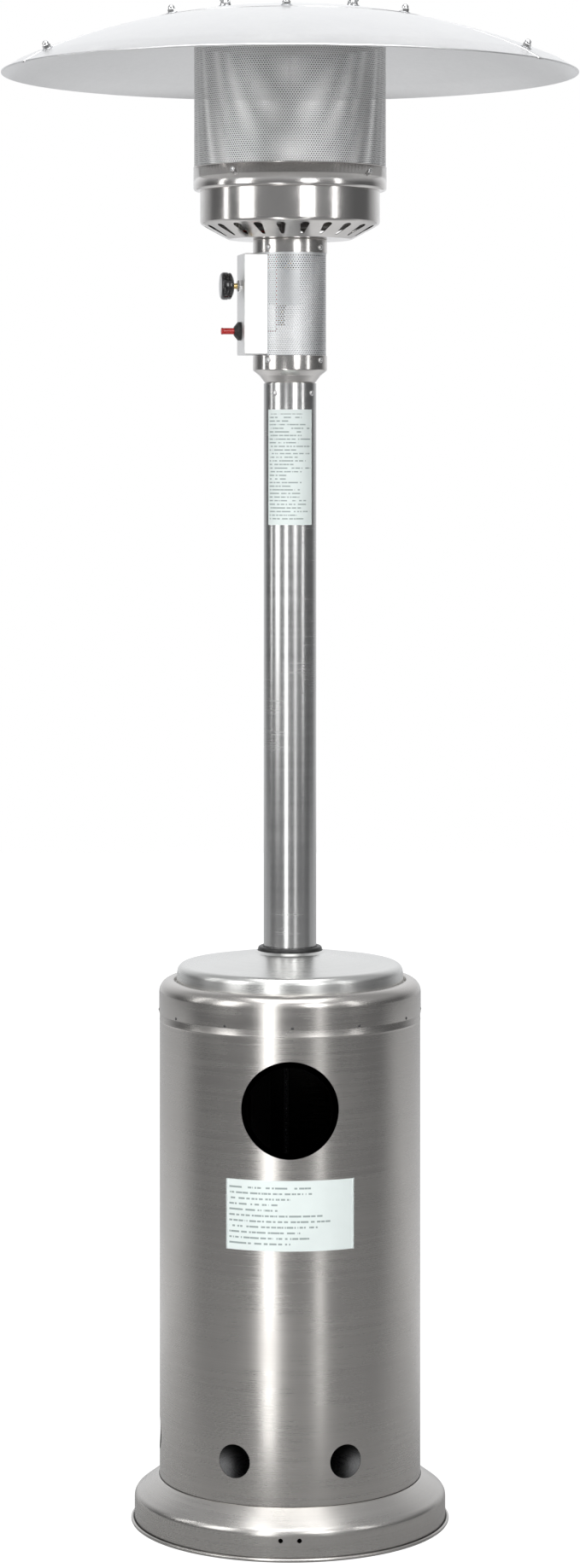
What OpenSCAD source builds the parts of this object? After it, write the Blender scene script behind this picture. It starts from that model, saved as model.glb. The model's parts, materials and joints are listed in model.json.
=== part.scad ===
// Free-standing gas patio heater: a dished base, a lift-up tank housing, a post, a burner head
// with a perforated emitter, and a three-panel reflector.
// The origin is on the floor under the post's axis. +Z is up and -Y is the front.
// An azimuth is counted from the front, positive towards +X.

/* [Base] */
// How far the base's skirt stands out from the ledge
base_flare = 34; // [20:1:60]
// Height of the ledge that the tank housing rests on
ledge_h = 66; // [52:1:90]
// Width of the ledge outside the platform's step
ledge_w = 7; // [6:0.5:12]
// Rise of the platform above the ledge
platform_rise = 8; // [5:0.5:14]
// Thickness of the base's sheet
base_t = 1.2; // [0.8:0.1:2]
// Radius of the rolled bead around the foot of the skirt
bead_r = 2.7; // [2:0.1:4]
// Distance between the two wheel-kit holes in the skirt
wheel_hole_gap = 26.3; // [20:0.1:60]
// Radius of a wheel-kit hole
wheel_hole_r = 3.25; // [2.5:0.05:5]
// Height of the wheel-kit holes above the floor
wheel_hole_h = 29.3; // [16:0.1:34]

/* [Tank housing] */
// Outer radius of the housing's shell
housing_r = 188; // [160:1:230]
// Height of the shell
housing_h = 679; // [560:1:820]
// Thickness of the housing's sheet
housing_t = 0.8; // [0.6:0.1:1.5]
// Radius of the clear opening inside the front hole's trim
front_hole_r = 59.8; // [45:0.1:75]
// Distance from the shell's top edge down to the front hole's centre
front_hole_drop = 125.9; // [90:0.1:200]
// Width of the rubber trim's face around the front hole
trim_w = 8.5; // [6:0.5:12]
// How far the trim stands off each side of the sheet
trim_lip = 2.2; // [1.5:0.1:3.5]
// Radius of a vent hole
vent_r = 23.7; // [12:0.1:30]
// Height of the vent holes' centres above the ledge
vent_rise = 59.9; // [35:0.1:90]
// Height of the cap's outer wall
cap_h = 47.5; // [30:0.5:70]
// How far the cap's skirt laps over the shell
cap_lap = 13.8; // [10:0.1:25]
// Corner radius of the cap
cap_corner_r = 18; // [6:1:18]
// Width of the cap's flat top between its corner and its recess
cap_land_w = 20.8; // [20.6:0.1:30]
// Depth of the cap's recessed seat for the lid
cap_seat_depth = 6.7; // [3:0.1:12]
// Width of the seat's flange under the lid
cap_flange_w = 16.5; // [10:0.5:24]
// Height of the lid's side wall
lid_wall_h = 25.7; // [18:0.1:40]
// Rise of the lid's cone from its side wall to the neck
lid_cone_rise = 19; // [10:0.5:30]
// Number of rivets between cap and shell
cap_rivets_n = 12; // [6:1:24]

/* [Post and legs] */
// Outer radius of the post
post_r = 38; // [32:0.5:42]
// Length of the post
post_l = 905; // [750:1:1100]
// Wall thickness of the post
post_t = 1.5; // [1:0.1:3]
// Width of a leg's strip
leg_w = 30; // [20:1:34]
// Thickness of a leg's strip
leg_t = 3; // [2:0.5:5]
// Gap between a leg and the inside of the shell's trim
leg_gap = 14; // [8:1:24]
// Length of a leg's foot
foot_l = 33; // [28:1:45]
// Length of a leg's upright tab on the post
tab_l = 55; // [40:1:60]

/* [Control housing] */
// How much wider the control housing is than the post, on the radius
head_step = 15.6; // [12:0.1:22]
// Thickness of the neck's and the collar's sheet
neck_t = 1.2; // [0.8:0.1:2]
// Height of the neck's band
neck_band_h = 21.4; // [18:0.1:30]
// Height of the cage between the neck's band and the upper collar
cage_h = 148.2; // [144:0.1:190]
// Thickness of the cage's sheet
cage_t = 0.8; // [0.6:0.1:1.2]
// Height of the upper collar
collar_h = 20; // [16:0.5:30]
// Azimuth that the control panel faces
panel_az = -80.5; // [-180:0.5:180]
// Width of the control panel
panel_w = 70; // [60:1:76]
// Distance from the post's axis to the panel's face
panel_d = 72; // [68:1:86]
// Thickness of the panel's sheet
panel_t = 1; // [0.8:0.1:1.5]

/* [Controls] */
// Radius of the control knob
knob_r = 20; // [16:0.5:26]
// Length of the control knob
knob_l = 18; // [14:0.5:26]
// How far the knob is pushed in to light the pilot
knob_travel = 4; // [2:0.5:5]
// Distance from the panel's top edge down to the knob's axis
knob_drop = 46; // [38:1:51]
// Radius of the valve's stem
stem_r = 4; // [3:0.25:5]
// Distance between the axes of the knob and the igniter button
igniter_drop = 65; // [55:1:70]
// Radius of the igniter button
button_r = 5; // [4:0.25:6]
// How far the igniter button stands out of its bezel
button_out = 18.5; // [8:0.5:22]
// How far the igniter button is pressed
button_travel = 6; // [3:0.5:7]

/* [Burner] */
// Width of the burner pan's slotted cone, outside its flat floor
pan_cone_w = 40.4; // [38:0.1:60]
// Height of the burner pan
pan_h = 69.6; // [62:0.1:90]
// Thickness of the pan's sheet
pan_t = 0.8; // [0.6:0.1:1.5]
// Number of air slots in the pan
pan_slots_n = 22; // [12:1:22]
// Length of an air slot
slot_l = 32; // [20:1:34]
// Width of an air slot at its outer end
slot_w = 12; // [8:0.5:14]
// Radius of the burner's drum
burner_r = 62; // [50:1:64]
// Height of the emitter's lower ring
ring_h = 34.3; // [26:0.1:50]
// Height of the emitter above the burner pan
emitter_h = 224.8; // [180:0.1:280]
// Thickness of the emitter's sheet
emitter_t = 0.8; // [0.6:0.1:1.2]

/* [Reflector] */
// Outer radius of the reflector
reflector_r = 416.5; // [380:0.5:480]
// Radius of the dome's sphere
dome_r = 989; // [850:1:1400]
// Height of the dome's inner top above the emitter
dome_rise = 40; // [34:0.5:60]
// Width of the reflector's turned-down lip
lip_w = 24.5; // [15:0.5:32]
// Drop of the lip over its width
lip_drop = 14; // [8:0.5:20]
// Radius of the central disc
disc_r = 200; // [150:1:240]
// Thickness of the reflector's sheet
reflector_t = 0.8; // [0.6:0.1:1.5]
// Distance from the axis to the three mounting studs
stud_pitch_r = 105; // [80:1:115]
// Radius of a mounting stud
stud_r = 4; // [3:0.5:5]
// Azimuth of the first lap joint
seam_az = -61.5; // [-180:0.5:180]

/* [Hidden] */

$fn = 96;

// Named clearances
slide_gap = 0.3;      // between pieces that move past each other
seat_gap = 0.02;      // under a flat head on a domed sheet
step_gap = 4.2;       // between the shell and the platform's step inside it
bolt_play = 0.25;     // around a bolt in its hole, on the radius
cut = 1;              // how far a cutting solid runs past the sheet it cuts
fillet_steps = 6;     // straight steps in a rounded corner of a pressed sheet
label_t = 0.2;        // thickness of a label

// Heights, from the floor up
platform_z = ledge_h + platform_rise;
shell_z = ledge_h + slide_gap;
shell_top = shell_z + housing_h;
hole_z = shell_top - front_hole_drop;
vent_z = ledge_h + vent_rise;
vent_az = [-86.6, -24.6, 24.6, 96, 145, -145];
cap_z = shell_top - cap_lap;
cap_top = cap_z + cap_h;
lid_z = cap_top - cap_seat_depth;
lid_shoulder_z = lid_z + lid_wall_h;
lid_neck_z = lid_shoulder_z + lid_cone_rise;
lid_neck_h = 3;
lid_top = lid_neck_z + lid_neck_h;
collar_ring_top = lid_top + 6;
collar_ring_h = 22;
tab_z = cap_z + 3.5;
knee_z = cap_z - 91.5;
post_z = tab_z - 2;
post_top = post_z + post_l;

// Radii of the base and the tank housing
shell_r = housing_r;
step_r = shell_r - housing_t - step_gap;
ledge_r = step_r + ledge_w;
base_r = ledge_r + base_flare;
slope_h = 25;
skirt_fillet = 13;
shell_in_r = shell_r - housing_t;
cap_r = shell_r + housing_t;
cap_land_r = cap_r - cap_land_w;
cap_seat_r = cap_land_r - 2.5;
lid_r = cap_seat_r - 1.5;
leg_r = shell_in_r - trim_lip - leg_gap;
collar_ring_in = post_r + slide_gap;
collar_ring_out = collar_ring_in + 7.8;
neck_in_r = collar_ring_out + slide_gap;
trim_out_r = front_hole_r + trim_w;
sheet_hole_r = front_hole_r + 3;
leg_az = [-45, 75, 195];
foot_bolt_r = leg_r - foot_l / 2 - leg_t / 2;

// Fasteners: shank radius, hexagon radius, head height, nut height
m8 = [4, 7.5, 5.3, 6.5];
m6 = [3, 5.77, 4, 5];
screw_r = 2;
screw_head_r = 4;
screw_head_h = 2.2;
tab_bolt_z = [tab_z + 14, tab_z + tab_l - 14];

// Control housing
sleeve_r = post_r - post_t - slide_gap;
sleeve_l = 38;
neck_r = post_r + head_step;
neck_z = post_top + 18;
neck_top = neck_z + neck_band_h;
cage_r = neck_r - neck_t;
cage_bottom = neck_top - 12;
cage_top = neck_top + cage_h + 5;
collar_z = neck_top + cage_h;
collar_top = collar_z + collar_h;
screw_az = [for (i = [0:3]) panel_az + 45 + 90 * i];
post_screw_z = post_top - 14.4;
neck_screw_z = neck_z + 14.8;
collar_screw_z = collar_z + 7.4;
panel_z = neck_top + 1.2;
panel_h = cage_h - 2.8;
panel_top = panel_z + panel_h;
panel_back_d = sqrt(pow(cage_r - cage_t, 2) - pow(panel_w / 2, 2));

// Gas valve and controls, placed along the panel's outward normal
knob_z = panel_top - knob_drop;
igniter_z = knob_z - igniter_drop;
valve_half = [14, 26];
valve_back_d = -12;
valve_front_d = 38;
valve_top_z = knob_z + valve_half.y - 2;
valve_low_z = knob_z - valve_half.y;
bonnet_r = stem_r * 2;
bonnet_out = 5;
stem_bore_r = stem_r + slide_gap + 0.2;
plunger_r = 2.5;
stem_in_d = valve_front_d - 7;
plunger_l = 17;
knob_d = panel_d + bonnet_out + knob_travel + 2.5;
inlet_d = (valve_back_d + valve_front_d) / 2;
inlet_r = 5;
inlet_bore_r = 3;
inlet_hex_h = 8;
inlet_l = 22;
hub_r = button_r + 3;
igniter_l = 37;
bezel_h = 10;
bezel_r = 13.4;

// Burner and emitter
pan_z = collar_top;
pan_floor = pan_z + pan_t;
pan_top = pan_z + pan_h;
pilot_d = burner_r + 14;
pan_flat_r = pilot_d + 13.3;
pan_r = pan_flat_r + pan_cone_w;
pan_cone_h = 22.4;
venturi_r = 11;
venturi_t = 1;
pan_hole_r = venturi_r + 5;
burner_z = pan_floor + 26;
burner_h = 18;
burner_t = 1.2;
pilot_r = 4.5;
riser_d = 33;
riser_z = pan_floor + 9.6;
pilot_t = -6;
thermo_t = 8;
spark_t = 22;
lead_d = 24;
riser_hole_r = 3;
ring_r = pan_r + 9.7;
ring_top = pan_top + ring_h;
ring_screw_z = ring_top - 9.5;
screen_r = ring_r - emitter_t;
screen_z = pan_top + emitter_t;
screen_top = pan_top + emitter_h;
emitter_top_r = screen_r - emitter_t;

// Reflector
dome_z = screen_top + dome_rise;
dome_centre_z = dome_z - dome_r;
lip_r = reflector_r - lip_w;
panel_in_r = disc_r - 20;
lap_deg = 4;
joggle_deg = 0.6;
dome_step = 20;
dome_sag = pow(dome_step, 2) / (8 * dome_r);
seams = [seam_az, seam_az + 120, seam_az + 240];
hem_r = 1.6;
inner_bolt_r = disc_r - 10;
rim_bolt_r = lip_r - 7;

// --- Shared helpers ---

function unit(v) = v / norm(v);
function flat(p) = [p.x, p.y];

// Points of the arc that rounds corner b of the path a, b, c to radius r
function fillet(a, b, c, r) =
    let (u = unit(a - b), w = unit(c - b), half = acos(u * w) / 2, d = r / tan(half))
    let (centre = b + unit(u + w) * r / sin(half), s = b + u * d - centre, e = b + w * d - centre)
    let (start = atan2(s.y, s.x), sweep = (atan2(e.y, e.x) - start + 540) % 360 - 180)
    [for (i = [0:fillet_steps]) let (a = start + sweep * i / fillet_steps)
        centre + r * [cos(a), sin(a)]];

// A path whose inner points may carry a fillet radius as their third number
function rounded(path) =
    [for (i = [0:len(path) - 1])
        each (i > 0 && i < len(path) - 1 && len(path[i]) > 2
            ? fillet(flat(path[i - 1]), flat(path[i]), flat(path[i + 1]), path[i][2])
            : [flat(path[i])])];

function left(a, b) = let (u = unit(b - a)) [-u.y, u.x];

// Point i of the path moved by t to its left, mitred at the corners
function shifted(p, i, t) =
    let (last = len(p) - 1)
    let (n0 = left(p[max(i - 1, 0)], p[max(i, 1)]))
    let (n1 = left(p[min(i, last - 1)], p[min(i + 1, last)]))
    p[i] + t * (n0 + n1) / (1 + n0 * n1);

// Outline of a sheet of thickness t that lies to the left of a path
function band(path, t) =
    let (p = rounded(path))
    concat(p, [for (i = [len(p) - 1:-1:0]) shifted(p, i, t)]);

// A round pressing: the path is [radius, height] along the outer face, upwards or inwards
module pressed(path, t) {
    rotate_extrude()
        polygon(band(path, t));
}

module tube(r, t, z0, z1) {
    translate([0, 0, z0])
        difference() {
            cylinder(r = r, h = z1 - z0);
            translate([0, 0, -cut])
                cylinder(r = r - t, h = z1 - z0 + 2 * cut);
        }
}

// Turns what is built at the front round to an azimuth
module at(az) {
    rotate([0, 0, az])
        children();
}

// Stands a thing on a radial line: its +Z points outwards from the axis
module radial(az, z) {
    at(az)
        translate([0, 0, z])
            rotate([90, 0, 0])
                children();
}

// A radial drill from radius r0 out to r1
module radial_hole(az, z, r, r0, r1) {
    radial(az, z)
        translate([0, 0, r0])
            cylinder(r = r, h = r1 - r0);
}

// Turns an outline of [radius, height] between two azimuths
module swept(az0, az1) {
    rotate([0, 0, az0 - 90])
        rotate_extrude(angle = az1 - az0)
            children();
}

// A point in the control panel's frame: distance outwards, sideways offset, height
function panel_point(d, side, z) = [side, -d, z];

// A thin round bar through a list of points, with a small swelling at each bend
module run(points, r) {
    for (i = [0:len(points) - 2]) {
        v = points[i + 1] - points[i];
        translate(points[i])
            rotate([0, acos(v.z / norm(v)), atan2(v.y, v.x)])
                cylinder(r = r, h = norm(v), $fn = 32);
    }
    for (i = [1:len(points) - 2])
        translate(points[i])
            sphere(r = r * 1.25, $fn = 32);
}

module pan_head_screw(length) {
    cylinder(r = screw_head_r, h = screw_head_h / 2);
    translate([0, 0, screw_head_h / 2])
        cylinder(r1 = screw_head_r, r2 = screw_head_r * 0.6, h = screw_head_h / 2);
    translate([0, 0, -length])
        cylinder(r = screw_r, h = length);
}

module hex_bolt(m, length) {
    cylinder(r = m[1], h = m[2], $fn = 6);
    translate([0, 0, -length])
        cylinder(r = m[0], h = length);
}

module hex_nut(m) {
    difference() {
        cylinder(r = m[1], h = m[3], $fn = 6);
        translate([0, 0, -cut])
            cylinder(r = m[0], h = m[3] + 2 * cut);
    }
}

// A domed nut with a blind hole
module cap_nut(m) {
    dome = m[1] * 0.82;
    difference() {
        union() {
            cylinder(r = m[1], h = m[3], $fn = 6);
            translate([0, 0, m[3] - cut]) {
                cylinder(r = dome, h = cut + 2);
                translate([0, 0, cut + 2])
                    sphere(r = dome, $fn = 32);
            }
        }
        translate([0, 0, -2 * m[3]])
            cylinder(r = 2 * m[1], h = 2 * m[3]);
        translate([0, 0, -cut])
            cylinder(r = m[0], h = m[3] + cut + 1.5);
    }
}

module washer(r, hole_r, t) {
    difference() {
        cylinder(r = r, h = t);
        translate([0, 0, -cut])
            cylinder(r = hole_r, h = t + 2 * cut);
    }
}

// A wing nut that stands on its base, for a thread of radius r
module wing_nut(r) {
    hub_h = r * 2;
    difference() {
        union() {
            cylinder(r1 = r * 2, r2 = r * 1.6, h = hub_h);
            rotate([90, 0, 0])
                linear_extrude(r * 0.7, center = true)
                    for (side = [-1, 1])
                        polygon([[side * r * 1.2, hub_h * 0.15], [side * r * 2.6, hub_h * 0.4],
                            [side * r * 4.2, hub_h * 1.1], [side * r * 4.2, hub_h * 1.5],
                            [side * r * 3.4, hub_h * 1.6], [side * r * 2.3, hub_h * 1.25],
                            [side * r * 1.2, hub_h * 0.85]]);
        }
        translate([0, 0, -cut])
            cylinder(r = r, h = 2 * hub_h);
    }
}

// --- Base and legs ---

module base_pan() {
    color("silver")
        difference() {
            union() {
                pressed([[base_r, bead_r], [base_r, ledge_h - slope_h, skirt_fillet],
                    [ledge_r, ledge_h, 4], [step_r, ledge_h], [step_r, platform_z, 2],
                    [0, platform_z]], base_t);
                rotate_extrude()
                    intersection() {
                        translate([base_r + bead_r * 0.85, bead_r * 0.95])
                            circle(r = bead_r, $fn = 48);
                        translate([base_r - base_t, 0])
                            square([3 * bead_r, 3 * bead_r]);
                    }
            }
            for (side = [-1, 1])
                translate([side * wheel_hole_gap / 2, 0, 0])
                    radial_hole(0, wheel_hole_h, wheel_hole_r, base_r - 10, base_r + 10);
            for (az = leg_az)
                at(az)
                    translate([0, -foot_bolt_r, platform_z - base_t - cut])
                        cylinder(r = m8[0] + bolt_play, h = base_t + 2 * cut);
        }
}

module leg(az) {
    color("dimgray")
        difference() {
            at(az)
                rotate([90, 0, -90])
                    linear_extrude(leg_w, center = true)
                        polygon(band([[leg_r - foot_l, platform_z], [leg_r, platform_z, 6],
                            [leg_r, knee_z, 15], [post_r + leg_t, tab_z, 12],
                            [post_r + leg_t, tab_z + tab_l]], leg_t));
            at(az)
                translate([0, -foot_bolt_r, platform_z - cut])
                    cylinder(r = m8[0] + bolt_play, h = leg_t + 2 * cut);
            for (z = tab_bolt_z)
                radial_hole(az, z, m6[0] + bolt_play, post_r - cut, post_r + leg_t + cut);
        }
}

module leg_front() { leg(leg_az[0]); }

module leg_right() { leg(leg_az[1]); }

module leg_rear() { leg(leg_az[2]); }

module leg_foot_bolts() {
    color("lightgray")
        for (az = leg_az)
            at(az)
                translate([0, -foot_bolt_r, platform_z + leg_t])
                    hex_bolt(m8, leg_t + base_t + m8[3] + 2);
}

module leg_foot_nuts() {
    color("lightgray")
        for (az = leg_az)
            at(az)
                translate([0, -foot_bolt_r, platform_z - base_t - m8[3]])
                    hex_nut(m8);
}

// A nut's flat face meets the round wall inside the post at its corners
post_nut_d = sqrt(pow(post_r - post_t, 2) - pow(m6[1], 2)) - 0.1;

module leg_post_bolts() {
    color("lightgray")
        for (az = leg_az, z = tab_bolt_z)
            radial(az, z)
                translate([0, 0, post_r + leg_t])
                    hex_bolt(m6, post_r + leg_t - post_nut_d + m6[3] + 1);
}

module leg_post_nuts() {
    color("lightgray")
        for (az = leg_az, z = tab_bolt_z)
            radial(az, z)
                translate([0, 0, post_nut_d - m6[3]])
                    hex_nut(m6);
}

// --- Post ---

module post() {
    color("silver")
        difference() {
            tube(post_r, post_t, post_z, post_top);
            for (az = leg_az, z = tab_bolt_z)
                radial_hole(az, z, m6[0] + bolt_play, post_r - post_t - cut, post_r + cut);
            for (az = screw_az)
                radial_hole(az, post_screw_z, screw_r + bolt_play, post_r - post_t - cut,
                    post_r + cut);
        }
}

post_label_h = 166;
post_label_drop = 38;
post_label_half_az = 54.5;

module post_label() {
    color("whitesmoke")
        swept(-post_label_half_az, post_label_half_az)
            translate([post_r, post_top - post_label_drop - post_label_h])
                square([label_t, post_label_h]);
}

// A ring of screws; each one's shank runs inwards through the sheets under it
module screw_ring(r, z, length) {
    color("gainsboro")
        for (az = screw_az)
            radial(az, z)
                translate([0, 0, r])
                    pan_head_screw(length);
}

module post_screws() { screw_ring(post_r, post_screw_z, post_t + slide_gap + neck_t + 1); }

module neck_lower_screws() { screw_ring(neck_r, neck_screw_z, neck_t + cage_t + 1); }

module neck_upper_screws() { screw_ring(neck_r, collar_screw_z, neck_t + cage_t + 1); }

module emitter_screws() { screw_ring(ring_r, ring_screw_z, emitter_t * 2 + 1); }

// --- Control housing ---

module neck_funnel() {
    color("silver")
        difference() {
            pressed([[sleeve_r, post_top - sleeve_l], [sleeve_r, post_top + 0.6, 1],
                [post_r + 6, neck_z - 7, 3], [neck_r - 4.6, neck_z - 3], [neck_r, neck_z + 0.6, 3],
                [neck_r, neck_top]], neck_t);
            for (az = screw_az)
                radial_hole(az, post_screw_z, screw_r, sleeve_r - 5, sleeve_r + cut);
            for (az = screw_az)
                radial_hole(az, neck_screw_z, screw_r + bolt_play, neck_r - 3, neck_r + cut);
        }
}

module control_cage() {
    color("gray")
        difference() {
            tube(cage_r, cage_t, cage_bottom, cage_top);
            at(panel_az)
                translate([-panel_w / 2, -panel_d, panel_z])
                    cube([panel_w, panel_d, panel_h]);
            for (az = screw_az, z = [neck_screw_z, collar_screw_z])
                radial_hole(az, z, screw_r, cage_r - 3, cage_r + cut);
        }
}

module control_panel() {
    color("lightgray")
        difference() {
            at(panel_az)
                translate([-panel_w / 2, -panel_d, panel_z])
                    difference() {
                        cube([panel_w, panel_d - panel_back_d, panel_h]);
                        translate([panel_t, panel_t, panel_t])
                            cube([panel_w - 2 * panel_t, panel_d, panel_h - 2 * panel_t]);
                    }
            radial_hole(panel_az, knob_z, bonnet_r + bolt_play, panel_d - 5, panel_d + cut);
            radial_hole(panel_az, igniter_z, hub_r + bolt_play, panel_d - 5, panel_d + cut);
        }
}

module upper_collar() {
    color("silver")
        difference() {
            pressed([[neck_r, collar_z], [neck_r, collar_top, 1.5], [neck_r - 7, collar_top]],
                neck_t);
            for (az = screw_az)
                radial_hole(az, collar_screw_z, screw_r + bolt_play, neck_r - 3, neck_r + cut);
        }
}

module tilt_switch() {
    color("black")
        at(panel_az)
            translate([-12, -panel_d + 8, panel_z + panel_t])
                cube([24, 20, 18]);
}

// --- Gas valve and controls ---

module gas_valve() {
    color("darkgoldenrod")
        difference() {
            union() {
                at(panel_az)
                    translate([-valve_half.x, -valve_front_d, valve_low_z])
                        cube([2 * valve_half.x, valve_front_d - valve_back_d,
                            valve_top_z - valve_low_z]);
                radial_hole(panel_az, knob_z, bonnet_r, valve_front_d - cut,
                    panel_d + bonnet_out);
                radial_hole(panel_az, knob_z, bonnet_r + 3, panel_d - panel_t - 3,
                    panel_d - panel_t);
            }
            radial_hole(panel_az, knob_z, stem_bore_r, stem_in_d - knob_travel - 1,
                panel_d + bonnet_out + cut);
            radial_hole(panel_az, knob_z, plunger_r + slide_gap,
                stem_in_d - plunger_l - knob_travel - 1, stem_in_d);
        }
}

module valve_inlet() {
    color("goldenrod")
        at(panel_az)
            translate([0, -inlet_d, valve_low_z - inlet_hex_h])
                difference() {
                    union() {
                        cylinder(r = inlet_r + 3, h = inlet_hex_h, $fn = 6);
                        translate([0, 0, -inlet_l])
                            cylinder(r = inlet_r, h = inlet_l + cut);
                    }
                    translate([0, 0, -inlet_l - cut])
                        cylinder(r = inlet_bore_r, h = inlet_l + inlet_hex_h + 2 * cut);
                }
}

module valve_plunger() {
    color("gold")
        radial_hole(panel_az, knob_z, plunger_r, stem_in_d - plunger_l, stem_in_d - slide_gap);
}

module valve_stem() {
    color("gold")
        radial_hole(panel_az, knob_z, stem_r, stem_in_d, knob_d + knob_l - 5);
}

module knob_nut() {
    color("silver")
        radial(panel_az, knob_z)
            translate([0, 0, panel_d])
                washer(bonnet_r + 2, bonnet_r, bonnet_out - 1);
}

knob_skirt_l = 6;

module control_knob() {
    color("black")
        radial(panel_az, knob_z)
            translate([0, 0, knob_d])
                difference() {
                    union() {
                        cylinder(r = knob_r, h = knob_skirt_l);
                        cylinder(r = knob_r - 3, h = knob_l);
                    }
                    translate([0, 0, -cut])
                        cylinder(r = stem_r, h = knob_l - 5 + cut);
                }
}

module igniter_body() {
    color("black")
        difference() {
            union() {
                radial_hole(panel_az, igniter_z, hub_r + 2, panel_d - panel_t - igniter_l,
                    panel_d - panel_t);
                radial_hole(panel_az, igniter_z, hub_r, panel_d - panel_t - cut, panel_d + 4);
            }
            radial_hole(panel_az, igniter_z, button_r + slide_gap,
                panel_d - 12 - button_travel - 2, panel_d + 5);
        }
}

module igniter_bezel() {
    color("black")
        radial(panel_az, igniter_z)
            translate([0, 0, panel_d])
                difference() {
                    cylinder(r1 = bezel_r, r2 = button_r + 2.5, h = bezel_h);
                    translate([0, 0, -cut])
                        cylinder(r = hub_r, h = 4 + cut);
                    cylinder(r = button_r + slide_gap, h = bezel_h + cut);
                }
}

module igniter_button() {
    color("red")
        radial_hole(panel_az, igniter_z, button_r, panel_d - 12,
            panel_d + bezel_h + button_out);
}

// --- Burner ---

module injector() {
    color("goldenrod")
        translate([0, 0, valve_top_z])
            difference() {
                union() {
                    cylinder(r = 8, h = 8, $fn = 6);
                    cylinder(r = 4, h = 20);
                }
                translate([0, 0, cut])
                    cylinder(r = 1, h = 20);
            }
}

module venturi_tube() {
    color("gray")
        difference() {
            tube(venturi_r, venturi_t, valve_top_z + 14, burner_z + burner_t);
            radial_hole(panel_az + 90, valve_top_z + 26, 4, -2 * venturi_r, 2 * venturi_r);
        }
}

module burner_head() {
    color("gray")
        union() {
            tube(venturi_r + 2, 2, pan_floor, burner_z + burner_t);
            tube(28, 28 - venturi_r - 1, pan_floor, pan_floor + 1.6);
            pressed([[venturi_r + 1, burner_z], [burner_r, burner_z, 4],
                [burner_r, burner_z + burner_h]], burner_t);
        }
}

module burner_cap() {
    color("gray")
        pressed([[burner_r + slide_gap + 1, burner_z + burner_h - 6],
            [burner_r + slide_gap + 1, burner_z + burner_h + 1, 0.9],
            [0, burner_z + burner_h + 1]], 1);
}

module pilot_column(extra) {
    at(panel_az)
        translate([0, -pilot_d, pan_floor])
            cylinder(r = pilot_r + extra, h = 44);
}

module pilot_burner() {
    color("gray")
        union() {
            pilot_column(0);
            at(panel_az)
                translate([0, -pilot_d, pan_floor + 44])
                    cylinder(r1 = pilot_r, r2 = pilot_r * 0.6, h = 6);
        }
}

module pilot_tube() {
    color("silver")
        difference() {
            at(panel_az)
                run([panel_point(riser_d, pilot_t, valve_top_z),
                    panel_point(riser_d, pilot_t, riser_z),
                    panel_point(pilot_d, 0, riser_z)], 1.6);
            pilot_column(0);
        }
}

module thermocouple() {
    color("peru")
        at(panel_az)
            run([panel_point(riser_d, thermo_t, valve_top_z),
                panel_point(riser_d, thermo_t, riser_z),
                panel_point(pilot_d, thermo_t, riser_z),
                panel_point(pilot_d, thermo_t, pan_floor + 50)], 1.3);
}

module spark_column() {
    at(panel_az)
        translate([spark_t, -pilot_d, pan_floor])
            cylinder(r = 3.2, h = 36);
}

module spark_electrode() {
    color("white")
        union() {
            spark_column();
            at(panel_az)
                run([panel_point(pilot_d, spark_t, pan_floor + 35),
                    panel_point(pilot_d, spark_t, pan_floor + 48),
                    panel_point(pilot_d, spark_t - 9, pan_floor + 52)], 0.8);
        }
}

module ignition_lead() {
    color("crimson")
        difference() {
            at(panel_az)
                run([panel_point(panel_d - panel_t - igniter_l, 0, igniter_z),
                    panel_point(lead_d, 0, igniter_z), panel_point(lead_d, lead_d, igniter_z),
                    panel_point(lead_d, lead_d, riser_z),
                    panel_point(pilot_d, spark_t, riser_z)], 1.2);
            spark_column();
        }
}

// Outline of an air slot: a narrow round end at the bottom and a wide one at the top
function slot_outline() =
    let (top_r = slot_w / 2, low_r = slot_w / 4, reach = slot_l - top_r - low_r)
    concat([for (a = [0:20:180]) [top_r * cos(a), reach / 2 + top_r * sin(a)]],
        [for (a = [180:30:360]) [low_r * cos(a), -reach / 2 + low_r * sin(a)]]);

module burner_pan() {
    slope = atan2(pan_cone_h, pan_r - pan_flat_r);
    color("silver")
        difference() {
            pressed([[pan_hole_r, pan_z], [pan_flat_r, pan_z, 5], [pan_r, pan_z + pan_cone_h, 6],
                [pan_r, pan_top]], pan_t);
            for (i = [0:pan_slots_n - 1])
                at(-6.1 + i * 360 / pan_slots_n)
                    translate([0, -(pan_r + pan_flat_r) / 2, pan_z + pan_cone_h / 2])
                        rotate([180 - slope, 0, 0])
                            linear_extrude(8, center = true)
                                polygon(slot_outline());
            at(panel_az)
                for (p = [[pilot_t, -riser_d], [thermo_t, -riser_d], [lead_d, -lead_d]])
                    translate([p.x, p.y, pan_z - cut])
                        cylinder(r = riser_hole_r, h = pan_t + 2 * cut);
        }
}

// --- Emitter ---

module emitter_ring() {
    color("silver")
        difference() {
            pressed([[pan_r - pan_t, pan_top], [ring_r, pan_top, 4.5], [ring_r, ring_top]],
                emitter_t);
            for (az = screw_az)
                radial_hole(az, ring_screw_z, screw_r + bolt_play, ring_r - 3, ring_r + cut);
        }
}

module emitter_screen() {
    color("gainsboro")
        difference() {
            tube(screen_r, emitter_t, screen_z + 4, screen_top);
            for (az = screw_az)
                radial_hole(az, ring_screw_z, screw_r, screen_r - 3, screen_r + cut);
        }
}

module emitter_top() {
    color("gray")
        difference() {
            pressed([[emitter_top_r, screen_top - 14], [emitter_top_r, screen_top, 3],
                [0, screen_top]], emitter_t);
            for (az = seams)
                at(az)
                    translate([0, -stud_pitch_r, screen_top - emitter_t - cut])
                        cylinder(r = stud_r, h = emitter_t + 2 * cut);
        }
}

// --- Reflector ---

// Height of a sphere about the dome's centre, at distance r from the axis
function sphere_z(sphere_r, r) = dome_centre_z + sqrt(sphere_r * sphere_r - r * r);

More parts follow.
